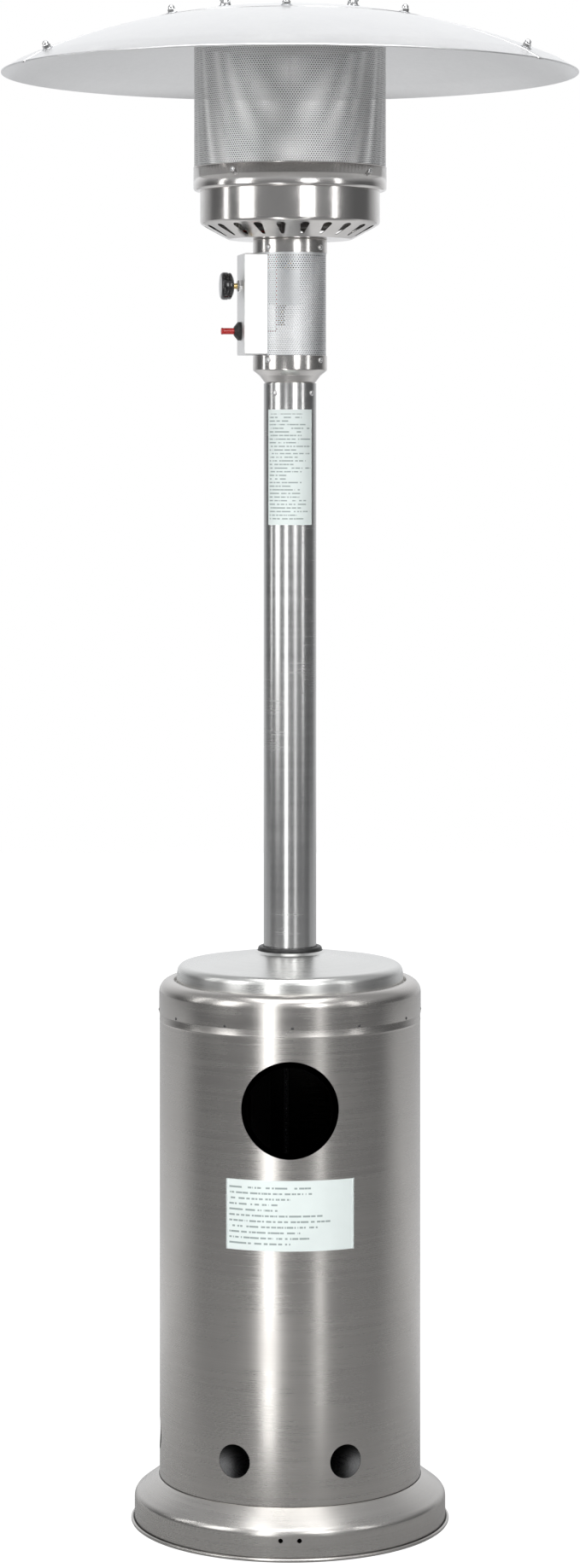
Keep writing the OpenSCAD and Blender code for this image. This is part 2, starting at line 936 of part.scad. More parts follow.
// A point of the dome's inner face, with its height counted from the dome's top
function dome_point(r) = [r, sqrt(dome_r * dome_r - r * r) - dome_r];

// The dome's inner face from r0 to r1; its bends fall on the same radii in every layer
function dome_path(r0, r1) =
    concat([dome_point(r0)],
        [for (i = [-ceil(disc_r / dome_step):ceil(reflector_r / dome_step)])
            let (r = disc_r + i * dome_step) if (r > r0 + 1 && r < r1 - 1) dome_point(r)],
        [dome_point(r1)]);

// A panel's inner face: the dome and then lip_l of the turned-down lip
function panel_path(lip_l) =
    concat(dome_path(panel_in_r, lip_r),
        [dome_point(lip_r) + [lip_l, -lip_drop * lip_l / lip_w]]);

// Outline of a sheet that lies between two offsets above a path
function layer(path, low, high) =
    let (last = len(path) - 1)
    [for (p = concat([for (i = [0:last]) shifted(path, i, low)],
        [for (i = [last:-1:0]) shifted(path, i, high)])) [max(p.x, 0), p.y]];

// Puts a thing on the dome: its +Z is the outward normal and its origin is the sphere's centre
module on_dome(az, r) {
    at(az)
        translate([0, 0, dome_centre_z])
            rotate([asin(r / dome_r), 0, 0])
                children();
}

module dome_drill(az, r, hole_r) {
    on_dome(az, r)
        translate([0, 0, dome_r - 20])
            cylinder(r = hole_r, h = 40);
}

module reflector_bolt_holes() {
    for (az = seams) {
        dome_drill(az, inner_bolt_r, m6[0] + bolt_play);
        dome_drill(az + 60, inner_bolt_r, m6[0] + bolt_play);
        dome_drill(az, rim_bolt_r, m6[0] + bolt_play);
    }
}

module reflector_panel(i) {
    from = seams[i] - lap_deg / 2;
    to = from + 120;
    flange_l = lip_w - 4 * hem_r;
    color("whitesmoke")
        difference() {
            translate([0, 0, dome_z])
                union() {
                    swept(from, to)
                        polygon(layer(panel_path(lip_w - hem_r), 0, reflector_t));
                    swept(from, to)
                        translate(dome_point(lip_r) + [lip_w - hem_r, -lip_drop])
                            circle(r = hem_r, $fn = 32);
                    swept(to - joggle_deg, to - joggle_deg / 3)
                        polygon(layer(panel_path(flange_l - 0.1), -reflector_t
                            - 1.5 * seat_gap, reflector_t + seat_gap / 2));
                    swept(to - joggle_deg / 2, to + lap_deg)
                        polygon(layer(panel_path(flange_l), -reflector_t - seat_gap,
                            -seat_gap));
                }
            reflector_bolt_holes();
        }
}

module reflector_panel_1() { reflector_panel(0); }

module reflector_panel_2() { reflector_panel(1); }

module reflector_panel_3() { reflector_panel(2); }

module reflector_disc() {
    color("whitesmoke")
        difference() {
            translate([0, 0, dome_z])
                rotate_extrude()
                    polygon(layer(dome_path(0, disc_r), reflector_t + seat_gap,
                        2 * reflector_t + seat_gap));
            reflector_bolt_holes();
            for (az = seams)
                at(az)
                    translate([0, -stud_pitch_r, dome_z - 30])
                        cylinder(r = stud_r + bolt_play, h = 60);
        }
}

washer_t = 1;
stud_washer_r = stud_r * 2.4;
disc_top_r = dome_r + 2 * reflector_t + seat_gap;
stud_washer_z = sphere_z(disc_top_r, stud_pitch_r - stud_washer_r) + seat_gap;
spacer_r = stud_r + 3;
spacer_top = sphere_z(dome_r + reflector_t, stud_pitch_r + spacer_r) - dome_sag;

// Copies a thing to each of the three studs
module at_studs(z) {
    for (az = seams)
        at(az)
            translate([0, -stud_pitch_r, z])
                children();
}

module reflector_studs() {
    low = screen_top - emitter_t;
    high = stud_washer_z + washer_t + stud_r * 2 + 3;
    color("silver")
        at_studs(low) {
            translate([0, 0, -3])
                cylinder(r = stud_r * 1.6, h = 3);
            cylinder(r = stud_r, h = high - low);
        }
}

module stud_spacers() {
    color("silver")
        at_studs(screen_top)
            washer(spacer_r, stud_r + bolt_play, spacer_top - screen_top);
}

module stud_washers() {
    color("silver")
        at_studs(stud_washer_z)
            washer(stud_washer_r, stud_r + bolt_play, washer_t);
}

module stud_wing_nuts() {
    color("silver")
        at_studs(stud_washer_z + washer_t)
            wing_nut(stud_r);
}

// Radius of the lowest and highest sheet face at each kind of reflector bolt
under_lap = dome_r - reflector_t - seat_gap;
bolt_seats = concat(
    [for (az = seams) [az, inner_bolt_r, under_lap, disc_top_r]],
    [for (az = seams) [az + 60, inner_bolt_r, dome_r, disc_top_r]],
    [for (az = seams) [az, rim_bolt_r, under_lap, dome_r + reflector_t]]);

// A flat bolt head meets the hollow side of the dome at the head's corners
bolt_head_drop = seat_gap + dome_sag + pow(m6[1], 2) / (2 * dome_r);
bolt_washer_r = 8;

module reflector_bolts() {
    color("silver")
        for (s = bolt_seats)
            on_dome(s[0], s[1])
                translate([0, 0, s[2] - bolt_head_drop])
                    rotate([180, 0, 0])
                        hex_bolt(m6, s[3] - s[2] + bolt_head_drop + washer_t + m6[3]);
}

module reflector_washers() {
    color("silver")
        for (s = bolt_seats)
            on_dome(s[0], s[1])
                translate([0, 0, s[3] + seat_gap])
                    washer(bolt_washer_r, m6[0] + bolt_play, washer_t);
}

module reflector_cap_nuts() {
    color("silver")
        for (s = bolt_seats)
            on_dome(s[0], s[1])
                translate([0, 0, s[3] + seat_gap + washer_t])
                    cap_nut(m6);
}

// --- Tank housing ---

module collar_ring() {
    low = collar_ring_top - collar_ring_h;
    color("black")
        rotate_extrude()
            polygon(concat(rounded([[collar_ring_in, low], [collar_ring_out + 7, low],
                [collar_ring_out + 7, low + 3], [collar_ring_out, low + 3],
                [collar_ring_out, collar_ring_top, 3.6], [collar_ring_in, collar_ring_top, 3.6],
                [collar_ring_in, low]])));
}

module tank_shell() {
    color("silver")
        difference() {
            tube(shell_r, housing_t, shell_z, shell_top);
            radial_hole(0, hole_z, sheet_hole_r, shell_r - 30, shell_r + 10);
            for (az = vent_az)
                radial_hole(az, vent_z, vent_r, shell_r - 10, shell_r + 10);
            for (i = [0:cap_rivets_n - 1])
                radial_hole(rivet_az(i), rivet_z, rivet_r, shell_r - 5, shell_r + 5);
        }
}

// The shell's rear lap joint: a narrow backing strip, a little off the centre line
seam_strip_az = 181.75;
seam_strip_half_az = 1.6;

module shell_seam() {
    color("gainsboro")
        swept(seam_strip_az - seam_strip_half_az, seam_strip_az + seam_strip_half_az)
            translate([shell_in_r - housing_t, shell_z + 12])
                square([housing_t, cap_z - shell_z - 24]);
}

rivet_z = cap_z + 2.9;
rivet_r = 1.2;
rivet_head_r = 2.1;

function rivet_az(i) = 1 + i * 360 / cap_rivets_n;

module housing_cap() {
    color("silver")
        difference() {
            pressed([[cap_r, cap_z], [cap_r, cap_top, cap_corner_r], [cap_land_r, cap_top, 3],
                [cap_seat_r, lid_z, 2], [cap_seat_r - cap_flange_w, lid_z]], housing_t);
            for (i = [0:cap_rivets_n - 1])
                radial_hole(rivet_az(i), rivet_z, rivet_r, shell_r - 5, shell_r + 5);
        }
}

module cap_rivets() {
    color("dimgray")
        for (i = [0:cap_rivets_n - 1])
            radial(rivet_az(i), rivet_z) {
                translate([0, 0, cap_r])
                    cylinder(r1 = rivet_head_r, r2 = rivet_head_r * 0.6, h = 0.9);
                translate([0, 0, shell_in_r - 1])
                    cylinder(r = rivet_r, h = cap_r - shell_in_r + 1);
            }
}

module housing_lid() {
    color("gainsboro")
        pressed([[lid_r, lid_z], [lid_r, lid_z + 3, 2], [lid_r - 2, lid_shoulder_z + 1.5, 12],
            [neck_in_r + 6, lid_neck_z, 4], [neck_in_r + housing_t, lid_top]], housing_t);
}

module hole_trim() {
    color("black")
        difference() {
            intersection() {
                tube(shell_r + trim_lip, 2 * trim_lip + housing_t, hole_z - 100, hole_z + 100);
                radial_hole(0, hole_z, trim_out_r, shell_r - 60, shell_r + 10);
            }
            radial_hole(0, hole_z, front_hole_r, shell_r - 70, shell_r + 20);
            difference() {
                tube(shell_r, housing_t, hole_z - 90, hole_z + 90);
                radial_hole(0, hole_z, sheet_hole_r, shell_r - 70, shell_r + 20);
            }
        }
}

rating_half_az = 28.4;
rating_label_h = 98.5;
rating_label_drop = 97.9;

module rating_label() {
    color("whitesmoke")
        swept(-rating_half_az, rating_half_az)
            translate([shell_r, hole_z - rating_label_drop - rating_label_h])
                square([label_t, rating_label_h]);
}

base_pan();
leg_front();
leg_right();
leg_rear();
leg_foot_bolts();
leg_foot_nuts();
leg_post_bolts();
leg_post_nuts();
post();
post_label();
post_screws();
neck_funnel();
neck_lower_screws();
control_cage();
control_panel();
upper_collar();
neck_upper_screws();
tilt_switch();
gas_valve();
valve_inlet();
valve_plunger();
valve_stem();
knob_nut();
control_knob();
igniter_body();
igniter_bezel();
igniter_button();
injector();
venturi_tube();
burner_head();
burner_cap();
pilot_burner();
pilot_tube();
thermocouple();
spark_electrode();
ignition_lead();
burner_pan();
emitter_ring();
emitter_screws();
emitter_screen();
emitter_top();
reflector_studs();
stud_spacers();
stud_washers();
stud_wing_nuts();
reflector_disc();
reflector_panel_1();
reflector_panel_2();
reflector_panel_3();
reflector_bolts();
reflector_washers();
reflector_cap_nuts();
collar_ring();
tank_shell();
shell_seam();
housing_cap();
housing_lid();
cap_rivets();
hole_trim();
rating_label();
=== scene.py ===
"""Looks of a free-standing gas patio heater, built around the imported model."""

from __future__ import annotations

import json
import logging
import math
import sys
from dataclasses import dataclass, field
from enum import Enum
from typing import Iterable, Sequence

import bpy
from mathutils import Matrix, Vector
from mathutils.geometry import delaunay_2d_cdt

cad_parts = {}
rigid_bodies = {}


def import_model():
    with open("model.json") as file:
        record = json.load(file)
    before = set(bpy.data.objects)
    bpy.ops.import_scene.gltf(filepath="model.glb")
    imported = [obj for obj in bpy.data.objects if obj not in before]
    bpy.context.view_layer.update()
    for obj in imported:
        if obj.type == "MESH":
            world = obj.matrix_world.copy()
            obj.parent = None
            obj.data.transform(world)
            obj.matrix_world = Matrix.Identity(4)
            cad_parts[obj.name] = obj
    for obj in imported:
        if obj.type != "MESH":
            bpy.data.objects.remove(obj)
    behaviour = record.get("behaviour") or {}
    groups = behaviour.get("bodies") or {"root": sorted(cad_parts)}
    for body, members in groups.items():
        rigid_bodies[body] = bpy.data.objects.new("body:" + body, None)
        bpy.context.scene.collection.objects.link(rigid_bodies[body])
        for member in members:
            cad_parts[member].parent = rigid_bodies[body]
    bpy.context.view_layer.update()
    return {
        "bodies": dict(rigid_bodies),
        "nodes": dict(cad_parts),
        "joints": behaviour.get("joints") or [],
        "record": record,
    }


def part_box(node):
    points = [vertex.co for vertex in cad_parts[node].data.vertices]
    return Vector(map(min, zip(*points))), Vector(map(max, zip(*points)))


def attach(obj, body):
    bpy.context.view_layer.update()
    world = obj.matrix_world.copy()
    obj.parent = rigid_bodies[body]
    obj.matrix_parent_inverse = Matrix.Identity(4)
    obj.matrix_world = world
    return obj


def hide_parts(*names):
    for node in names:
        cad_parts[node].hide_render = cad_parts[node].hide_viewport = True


log = logging.getLogger("heater")

MM = 0.001
DUST = (0.42, 0.40, 0.37, 1.0)
FLOOR_NEAR = (0.25, 0.25, 0.25)
FLOOR_FAR = (0.92, 0.92, 0.92)
FLOOR_REACH = 9000.0
FOOT_R = 0.215  # metres: the floor doesn't glow where the base stands on it
Point2 = tuple[float, float]
Ramp = tuple[float, float, Point2]  # from, to, and the two outputs


class Body(str, Enum):
    """The moving bodies of the heater, named as the frame names them."""

    STAND = "stand"
    COLLAR = "collar"
    HOUSING = "tank_housing"
    KNOB = "knob"
    IGNITER = "igniter"


class Grain(Enum):
    """The way a sheet's brushing runs."""

    ROUND = 0  # round the heater's axis
    CLOUDY = 1  # no direction, a fine satin


# --- Shader node groups, shared by the finishes ---


class Tree:
    """A thin wrapper that adds and links the nodes of one node tree."""

    def __init__(self, tree: bpy.types.NodeTree) -> None:
        """Starts on a tree.

        Args:
            tree: The node tree of a material or of a node group.
        """
        self.tree = tree

    def node(self, kind: str, **values: object) -> bpy.types.Node:
        """Adds a node and sets its properties.

        Args:
            kind: The node's type without its "ShaderNode" prefix.
            **values: Properties to set on the node.

        Returns:
            The new node.
        """
        prefix = "" if kind.startswith("Node") else "ShaderNode"
        made = self.tree.nodes.new(prefix + kind)
        for name, value in values.items():
            setattr(made, name, value)
        return made

    def link(self, source: bpy.types.NodeSocket, target: bpy.types.NodeSocket) -> None:
        """Links an output to an input."""
        self.tree.links.new(source, target)

    def math(self, operation: str, a: object, b: object = 0.0) -> bpy.types.NodeSocket:
        """Adds a Math node fed by sockets or numbers.

        Args:
            operation: The Math node's operation.
            a: Its first operand.
            b: Its second operand.

        Returns:
            The node's output socket.
        """
        made = self.node("Math", operation=operation)
        for socket, value in zip(made.inputs, (a, b)):
            if isinstance(value, bpy.types.NodeSocket):
                self.link(value, socket)
            else:
                socket.default_value = value
        return made.outputs[0]

    def ramp(
        self, source: bpy.types.NodeSocket, low: float, high: float, out: Point2 = (0.0, 1.0)
    ) -> bpy.types.NodeSocket:
        """Maps a value from one range to another, with its ends held.

        Args:
            source: The value's socket.
            low: The value that gives the first output.
            high: The value that gives the second output.
            out: The two outputs.

        Returns:
            The mapped value's socket.
        """
        made = self.node("MapRange", clamp=True)
        self.link(source, made.inputs["Value"])
        made.inputs["From Min"].default_value = low
        made.inputs["From Max"].default_value = high
        made.inputs["To Min"].default_value = out[0]
        made.inputs["To Max"].default_value = out[1]
        return made.outputs["Result"]


def new_group(
    name: str, inputs: dict[str, tuple[str, float]], outputs: dict[str, str]
) -> tuple[Tree, bpy.types.Node, bpy.types.Node]:
    """Makes a shader node group with named sockets.

    Args:
        name: The group's name.
        inputs: Each input's socket type and default value.
        outputs: Each output's socket type.

    Returns:
        The group's tree, its input node and its output node.
    """
    group = bpy.data.node_groups.new(name, "ShaderNodeTree")
    for label, (kind, value) in inputs.items():
        socket = group.interface.new_socket(label, in_out="INPUT", socket_type=kind)
        socket.default_value = value
    for label, kind in outputs.items():
        group.interface.new_socket(label, in_out="OUTPUT", socket_type=kind)
    tree = Tree(group)
    return tree, tree.node("NodeGroupInput"), tree.node("NodeGroupOutput")


def grain_group() -> bpy.types.NodeTree:
    """Builds the brushed-sheet group: long fine scratches and the slow streaks between them.

    Returns:
        The node group, with a Streak, a Scratch and a Height output.
    """
    tree, ins, outs = new_group(
        "BrushedGrain",
        {"Level Scale": ("NodeSocketFloat", 6.0), "Rise Scale": ("NodeSocketFloat", 900.0)},
        {
            "Streak": "NodeSocketFloat",
            "Scratch": "NodeSocketFloat",
            "Height": "NodeSocketFloat",
        },
    )
    place = tree.node("TexCoord")
    split = tree.node("SeparateXYZ")
    tree.link(place.outputs["Object"], split.inputs[0])
    x, y, z = split.outputs
    reach = tree.math("SQRT", tree.math("ADD", tree.math("MULTIPLY", x, x),
                                        tree.math("MULTIPLY", y, y)))
    spot = tree.node("CombineXYZ")
    level = ins.outputs["Level Scale"]
    tree.link(tree.math("MULTIPLY", x, level), spot.inputs["X"])
    tree.link(tree.math("MULTIPLY", y, level), spot.inputs["Y"])
    rise = tree.math("MULTIPLY", tree.math("ADD", z, reach), ins.outputs["Rise Scale"])
    tree.link(rise, spot.inputs["Z"])
    fine = tree.node("TexNoise")
    fine.inputs["Scale"].default_value = 1.0
    fine.inputs["Detail"].default_value = 3.0
    fine.inputs["Roughness"].default_value = 0.65
    slow = tree.node("TexNoise")
    slow.inputs["Scale"].default_value = 0.13
    slow.inputs["Detail"].default_value = 2.0
    tree.link(spot.outputs[0], fine.inputs["Vector"])
    tree.link(spot.outputs[0], slow.inputs["Vector"])
    tree.link(fine.outputs["Fac"], outs.inputs["Scratch"])
    tree.link(slow.outputs["Fac"], outs.inputs["Streak"])
    tree.link(fine.outputs["Fac"], outs.inputs["Height"])
    return tree.tree


def handling_group() -> bpy.types.NodeTree:
    """Builds the group for what handling and weather leave: soft smudges and settled dust.

    Returns:
        The node group, with a Smudge and a Dust output.
    """
    tree, ins, outs = new_group(
        "HandlingMarks",
        {"Size": ("NodeSocketFloat", 6.0), "Dust Height": ("NodeSocketFloat", 0.12)},
        {"Smudge": "NodeSocketFloat", "Dust": "NodeSocketFloat"},
    )
    place = tree.node("TexCoord")
    cloud = tree.node("TexNoise")
    cloud.inputs["Detail"].default_value = 5.0
    cloud.inputs["Roughness"].default_value = 0.6
    tree.link(place.outputs["Object"], cloud.inputs["Vector"])
    tree.link(ins.outputs["Size"], cloud.inputs["Scale"])
    tree.link(tree.ramp(cloud.outputs["Fac"], 0.4, 0.72), outs.inputs["Smudge"])
    split = tree.node("SeparateXYZ")
    tree.link(place.outputs["Object"], split.inputs[0])
    low = tree.math("DIVIDE", split.outputs["Z"], ins.outputs["Dust Height"])
    fade = tree.ramp(low, 0.2, 1.0, (1.0, 0.0))
    specks = tree.node("TexNoise")
    specks.inputs["Scale"].default_value = 260.0
    specks.inputs["Detail"].default_value = 4.0
    tree.link(place.outputs["Object"], specks.inputs["Vector"])
    tree.link(
        tree.math("MULTIPLY", fade, tree.ramp(specks.outputs["Fac"], 0.42, 0.7)),
        outs.inputs["Dust"],
    )
    return tree.tree


def moulded_group() -> bpy.types.NodeTree:
    """Builds the fine spark-eroded skin of moulded plastic and rubber.

    Returns:
        The node group, with a Height and a Mottle output.
    """
    tree, ins, outs = new_group(
        "MouldedSkin",
        {"Size": ("NodeSocketFloat", 900.0)},
        {"Height": "NodeSocketFloat", "Mottle": "NodeSocketFloat"},
    )
    place = tree.node("TexCoord")
    pits = tree.node("TexNoise")
    pits.inputs["Detail"].default_value = 2.0
    tree.link(place.outputs["Object"], pits.inputs["Vector"])
    tree.link(ins.outputs["Size"], pits.inputs["Scale"])
    broad = tree.node("TexNoise")
    broad.inputs["Scale"].default_value = 30.0
    tree.link(place.outputs["Object"], broad.inputs["Vector"])
    tree.link(pits.outputs["Fac"], outs.inputs["Height"])
    tree.link(broad.outputs["Fac"], outs.inputs["Mottle"])
    return tree.tree


def inward_shade_group() -> bpy.types.NodeTree:
    """Builds the mask of painted shade inside: faces turned to the axis, and all within a given
    radius.

    Returns:
        The node group, with an Inward output: the mask of the painted shade.
    """
    tree, ins, outs = new_group(
        "InwardShade", {"Core": ("NodeSocketFloat", 0.0)}, {"Inward": "NodeSocketFloat"}
    )
    place = tree.node("TexCoord")
    level = tree.node("VectorMath", operation="MULTIPLY")
    level.inputs[1].default_value = (1.0, 1.0, 0.0)
    tree.link(place.outputs["Object"], level.inputs[0])
    facing = tree.node("VectorMath", operation="DOT_PRODUCT")
    tree.link(level.outputs["Vector"], facing.inputs[0])
    tree.link(place.outputs["Normal"], facing.inputs[1])
    reach = tree.node("VectorMath", operation="LENGTH")
    tree.link(level.outputs["Vector"], reach.inputs[0])
    # Painted shade mask: 1 within the given radius or on faces turned to the axis.
    within = tree.math("LESS_THAN", reach.outputs["Value"], ins.outputs["Core"])
    turned_in = tree.math("LESS_THAN", facing.outputs["Value"], 0.0)
    tree.link(tree.math("MAXIMUM", within, turned_in), outs.inputs["Inward"])
    return tree.tree


def printed_group() -> bpy.types.NodeTree:
    """Builds the group for print on film: rows of plain bars of uneven length.

    Returns:
        The node group, with an Ink output.
    """
    tree, ins, outs = new_group(
        "PrintedBars",
        {
            "Pitch": ("NodeSocketFloat", 0.008),
            "Radius": ("NodeSocketFloat", 0.188),
            "Half Width": ("NodeSocketFloat", 0.08),
            "Height Low": ("NodeSocketFloat", 0.43),
            "Height High": ("NodeSocketFloat", 0.51),
        },
        {"Ink": "NodeSocketFloat"},
    )
    place = tree.node("TexCoord")
    split = tree.node("SeparateXYZ")
    tree.link(place.outputs["Object"], split.inputs[0])
    x, y, z = split.outputs
    turn = tree.math("ARCTAN2", x, tree.math("MULTIPLY", y, -1.0))
    along = tree.math("MULTIPLY", turn, ins.outputs["Radius"])
    line = tree.math("DIVIDE", z, ins.outputs["Pitch"])
    part = tree.math("FRACT", line)
    row = tree.math("FLOOR", line)
    in_row = tree.math("MULTIPLY", tree.math("GREATER_THAN", part, 0.34),
                       tree.math("LESS_THAN", part, 0.66))
    spot = tree.node("CombineXYZ")
    tree.link(tree.math("MULTIPLY", along, 260.0), spot.inputs["X"])
    tree.link(tree.math("MULTIPLY", row, 7.3), spot.inputs["Y"])
    words = tree.node("TexNoise", noise_dimensions="2D")
    words.inputs["Scale"].default_value = 1.0
    words.inputs["Detail"].default_value = 1.0
    tree.link(spot.outputs[0], words.inputs["Vector"])
    bars = tree.math("GREATER_THAN", words.outputs["Fac"], 0.43)
    ends = tree.node("TexNoise", noise_dimensions="1D")
    ends.inputs["Scale"].default_value = 1.0
    tree.link(tree.math("MULTIPLY", row, 3.7), ends.inputs["W"])
    half = ins.outputs["Half Width"]
    stop = tree.math("MULTIPLY", half, tree.ramp(ends.outputs["Fac"], 0.35, 0.6, (-0.2, 1.0)))
    started = tree.math("GREATER_THAN", along, tree.math("MULTIPLY", half, -1.0))
    stopped = tree.math("LESS_THAN", along, stop)
    inside_z = tree.math("MULTIPLY",
                         tree.math("GREATER_THAN", z, ins.outputs["Height Low"]),
                         tree.math("LESS_THAN", z, ins.outputs["Height High"]))
    ink = tree.math("MULTIPLY", tree.math("MULTIPLY", in_row, bars),
                    tree.math("MULTIPLY", tree.math("MULTIPLY", started, stopped), inside_z))
    tree.link(ink, outs.inputs["Ink"])
    return tree.tree


@dataclass
class Effects:
    """The shared node groups, built once."""

    grain: bpy.types.NodeTree = field(default_factory=grain_group)
    handling: bpy.types.NodeTree = field(default_factory=handling_group)
    moulded: bpy.types.NodeTree = field(default_factory=moulded_group)
    inward_shade: bpy.types.NodeTree = field(default_factory=inward_shade_group)
    printed: bpy.types.NodeTree = field(default_factory=printed_group)


# --- Finishes ---


def place_group(tree: Tree, group: bpy.types.NodeTree, **values: float) -> bpy.types.Node:
    """Places a node group in a material and sets its inputs.

    Args:
        tree: The material's tree.
        group: The node group.
        **values: Input values, with underscores for the spaces of their names.

    Returns:
        The group's node.
    """
    made = tree.node("Group")
    made.node_tree = group
    for name, value in values.items():
        made.inputs[name.replace("_", " ")].default_value = value
    return made


def mix_colours(
    tree: Tree, factor: bpy.types.NodeSocket, low: Sequence[float], high: Sequence[float]
) -> bpy.types.NodeSocket:
    """Adds a node that mixes two fixed colours.

    Args:
        tree: The tree to add it to.
        factor: The socket that drives the mix.
        low: The colour at 0.
        high: The colour at 1.

    Returns:
        The mixed colour's socket.
    """
    made = tree.node("Mix", data_type="RGBA")
    tree.link(factor, made.inputs["Factor"])
    made.inputs["A"].default_value = (*low, 1.0)
    made.inputs["B"].default_value = (*high, 1.0)
    return made.outputs["Result"]


def start_material(name: str) -> tuple[bpy.types.Material, Tree, bpy.types.Node]:
    """Makes a material with its Principled shader.

    Args:
        name: The material's name.

    Returns:
        The material, its tree and its Principled node.
    """
    material = bpy.data.materials.new(name)
    material.use_nodes = True
    tree = Tree(material.node_tree)
    return material, tree, material.node_tree.nodes["Principled BSDF"]


def scaled(colour: Sequence[float], factor: float) -> tuple[float, float, float]:
    """Returns a colour made lighter or darker by a factor."""
    return tuple(min(1.0, c * factor) for c in colour)


@dataclass(frozen=True)
class BrushedMetal:
    """Brushed or satin sheet metal, with painted shade where its faces turn to the axis."""

    name: str
    colour: tuple[float, float, float]
    roughness: float = 0.3
    grain: Grain = Grain.ROUND
    along: float = 5.0
    across: float = 900.0
    contrast: float = 0.12
    depth: float = 0.00002
    smudge: float = 0.06
    # Painted shade: the fraction of the colour left on faces turned to the axis (1.0 leaves it
    # unchanged).
    inside: float = 1.0
    # Painted shade: all within this radius, in metres, is darkened the same way.
    shade_core: float = 0.0

    def build(self, effects: Effects) -> bpy.types.Material:
        """Builds the material.

        Args:
            effects: The shared node groups.

        Returns:
            The material.
        """
        material, tree, shader = start_material(self.name)
        shader.inputs["Metallic"].default_value = 1.0
        level = self.along if self.grain is Grain.ROUND else self.across
        grain = place_group(tree, effects.grain, Level_Scale=level, Rise_Scale=self.across)
        marks = place_group(tree, effects.handling, Size=7.0, Dust_Height=0.1)
        streaks = tree.math(
            "ADD",
            tree.math("MULTIPLY", grain.outputs["Scratch"], 0.6),
            tree.math("MULTIPLY", grain.outputs["Streak"], 0.4),
        )
        colour = mix_colours(
            tree,
            tree.ramp(streaks, 0.3, 0.7),
            scaled(self.colour, 1.0 - self.contrast),
            scaled(self.colour, 1.0 + self.contrast),
        )
        dusty = tree.node("Mix", data_type="RGBA")
        tree.link(tree.math("MULTIPLY", marks.outputs["Dust"], 0.25), dusty.inputs["Factor"])
        tree.link(colour, dusty.inputs["A"])
        dusty.inputs["B"].default_value = DUST
        # Painted shade: the colour is multiplied by the inside factor where the shade mask is set.
        shade = tree.node("Mix", data_type="RGBA", blend_type="MULTIPLY")
        side = place_group(tree, effects.inward_shade, Core=self.shade_core)
        tree.link(side.outputs["Inward"], shade.inputs["Factor"])
        tree.link(dusty.outputs["Result"], shade.inputs["A"])
        shade.inputs["B"].default_value = (self.inside, self.inside, self.inside, 1.0)
        tree.link(shade.outputs["Result"], shader.inputs["Base Color"])
        rough = tree.math(
            "ADD",
            tree.ramp(streaks, 0.25, 0.75, (self.roughness - 0.04, self.roughness + 0.05)),
            tree.math("MULTIPLY", marks.outputs["Smudge"], self.smudge),
        )
        tree.link(rough, shader.inputs["Roughness"])
        bump = tree.node("Bump")
        bump.inputs["Strength"].default_value = 1.0
        bump.inputs["Distance"].default_value = self.depth
        tree.link(grain.outputs["Height"], bump.inputs["Height"])
        tree.link(bump.outputs[0], shader.inputs["Normal"])
        return material


@dataclass(frozen=True)
class PlatedMetal:
    """Polished or plated metal: bright, with faint pits and smudges."""

    name: str
    colour: tuple[float, float, float]
    roughness: float = 0.08
    smudge: float = 0.08

    def build(self, effects: Effects) -> bpy.types.Material:
        """Builds the material.

        Args:
            effects: The shared node groups.

        Returns:
            The material.
        """
        material, tree, shader = start_material(self.name)
        shader.inputs["Metallic"].default_value = 1.0
        marks = place_group(tree, effects.handling, Size=22.0, Dust_Height=0.05)
        skin = place_group(tree, effects.moulded, Size=1400.0)
        colour = mix_colours(
            tree, marks.outputs["Smudge"], self.colour, scaled(self.colour, 0.88)
        )
        tree.link(colour, shader.inputs["Base Color"])
        rough = tree.math("MULTIPLY", marks.outputs["Smudge"], self.smudge)
        tree.link(tree.math("ADD", rough, self.roughness), shader.inputs["Roughness"])
        bump = tree.node("Bump")
        bump.inputs["Strength"].default_value = 0.15
        bump.inputs["Distance"].default_value = 0.00002
        tree.link(skin.outputs["Height"], bump.inputs["Height"])
        tree.link(bump.outputs[0], shader.inputs["Normal"])
        return material


@dataclass(frozen=True)
class Moulding:
    """Moulded plastic, rubber, ceramic or paint."""

    name: str
    colour: tuple[float, float, float]
    roughness: float = 0.4
    pit_size: float = 900.0
    depth: float = 0.00004
    coat: float = 0.0

    def build(self, effects: Effects) -> bpy.types.Material:
        """Builds the material.

        Args:
            effects: The shared node groups.

        Returns:
            The material.
        """
        material, tree, shader = start_material(self.name)
        shader.inputs["Coat Weight"].default_value = self.coat
        skin = place_group(tree, effects.moulded, Size=self.pit_size)
        marks = place_group(tree, effects.handling, Size=30.0, Dust_Height=0.05)
        colour = mix_colours(
            tree, skin.outputs["Mottle"], scaled(self.colour, 0.85), scaled(self.colour, 1.2)
        )
        tree.link(colour, shader.inputs["Base Color"])
        rough = tree.math("MULTIPLY", marks.outputs["Smudge"], 0.1)
        tree.link(tree.math("ADD", rough, self.roughness), shader.inputs["Roughness"])
        bump = tree.node("Bump")
        bump.inputs["Strength"].default_value = 0.6
        bump.inputs["Distance"].default_value = self.depth
        tree.link(skin.outputs["Height"], bump.inputs["Height"])
        tree.link(bump.outputs[0], shader.inputs["Normal"])
        return material


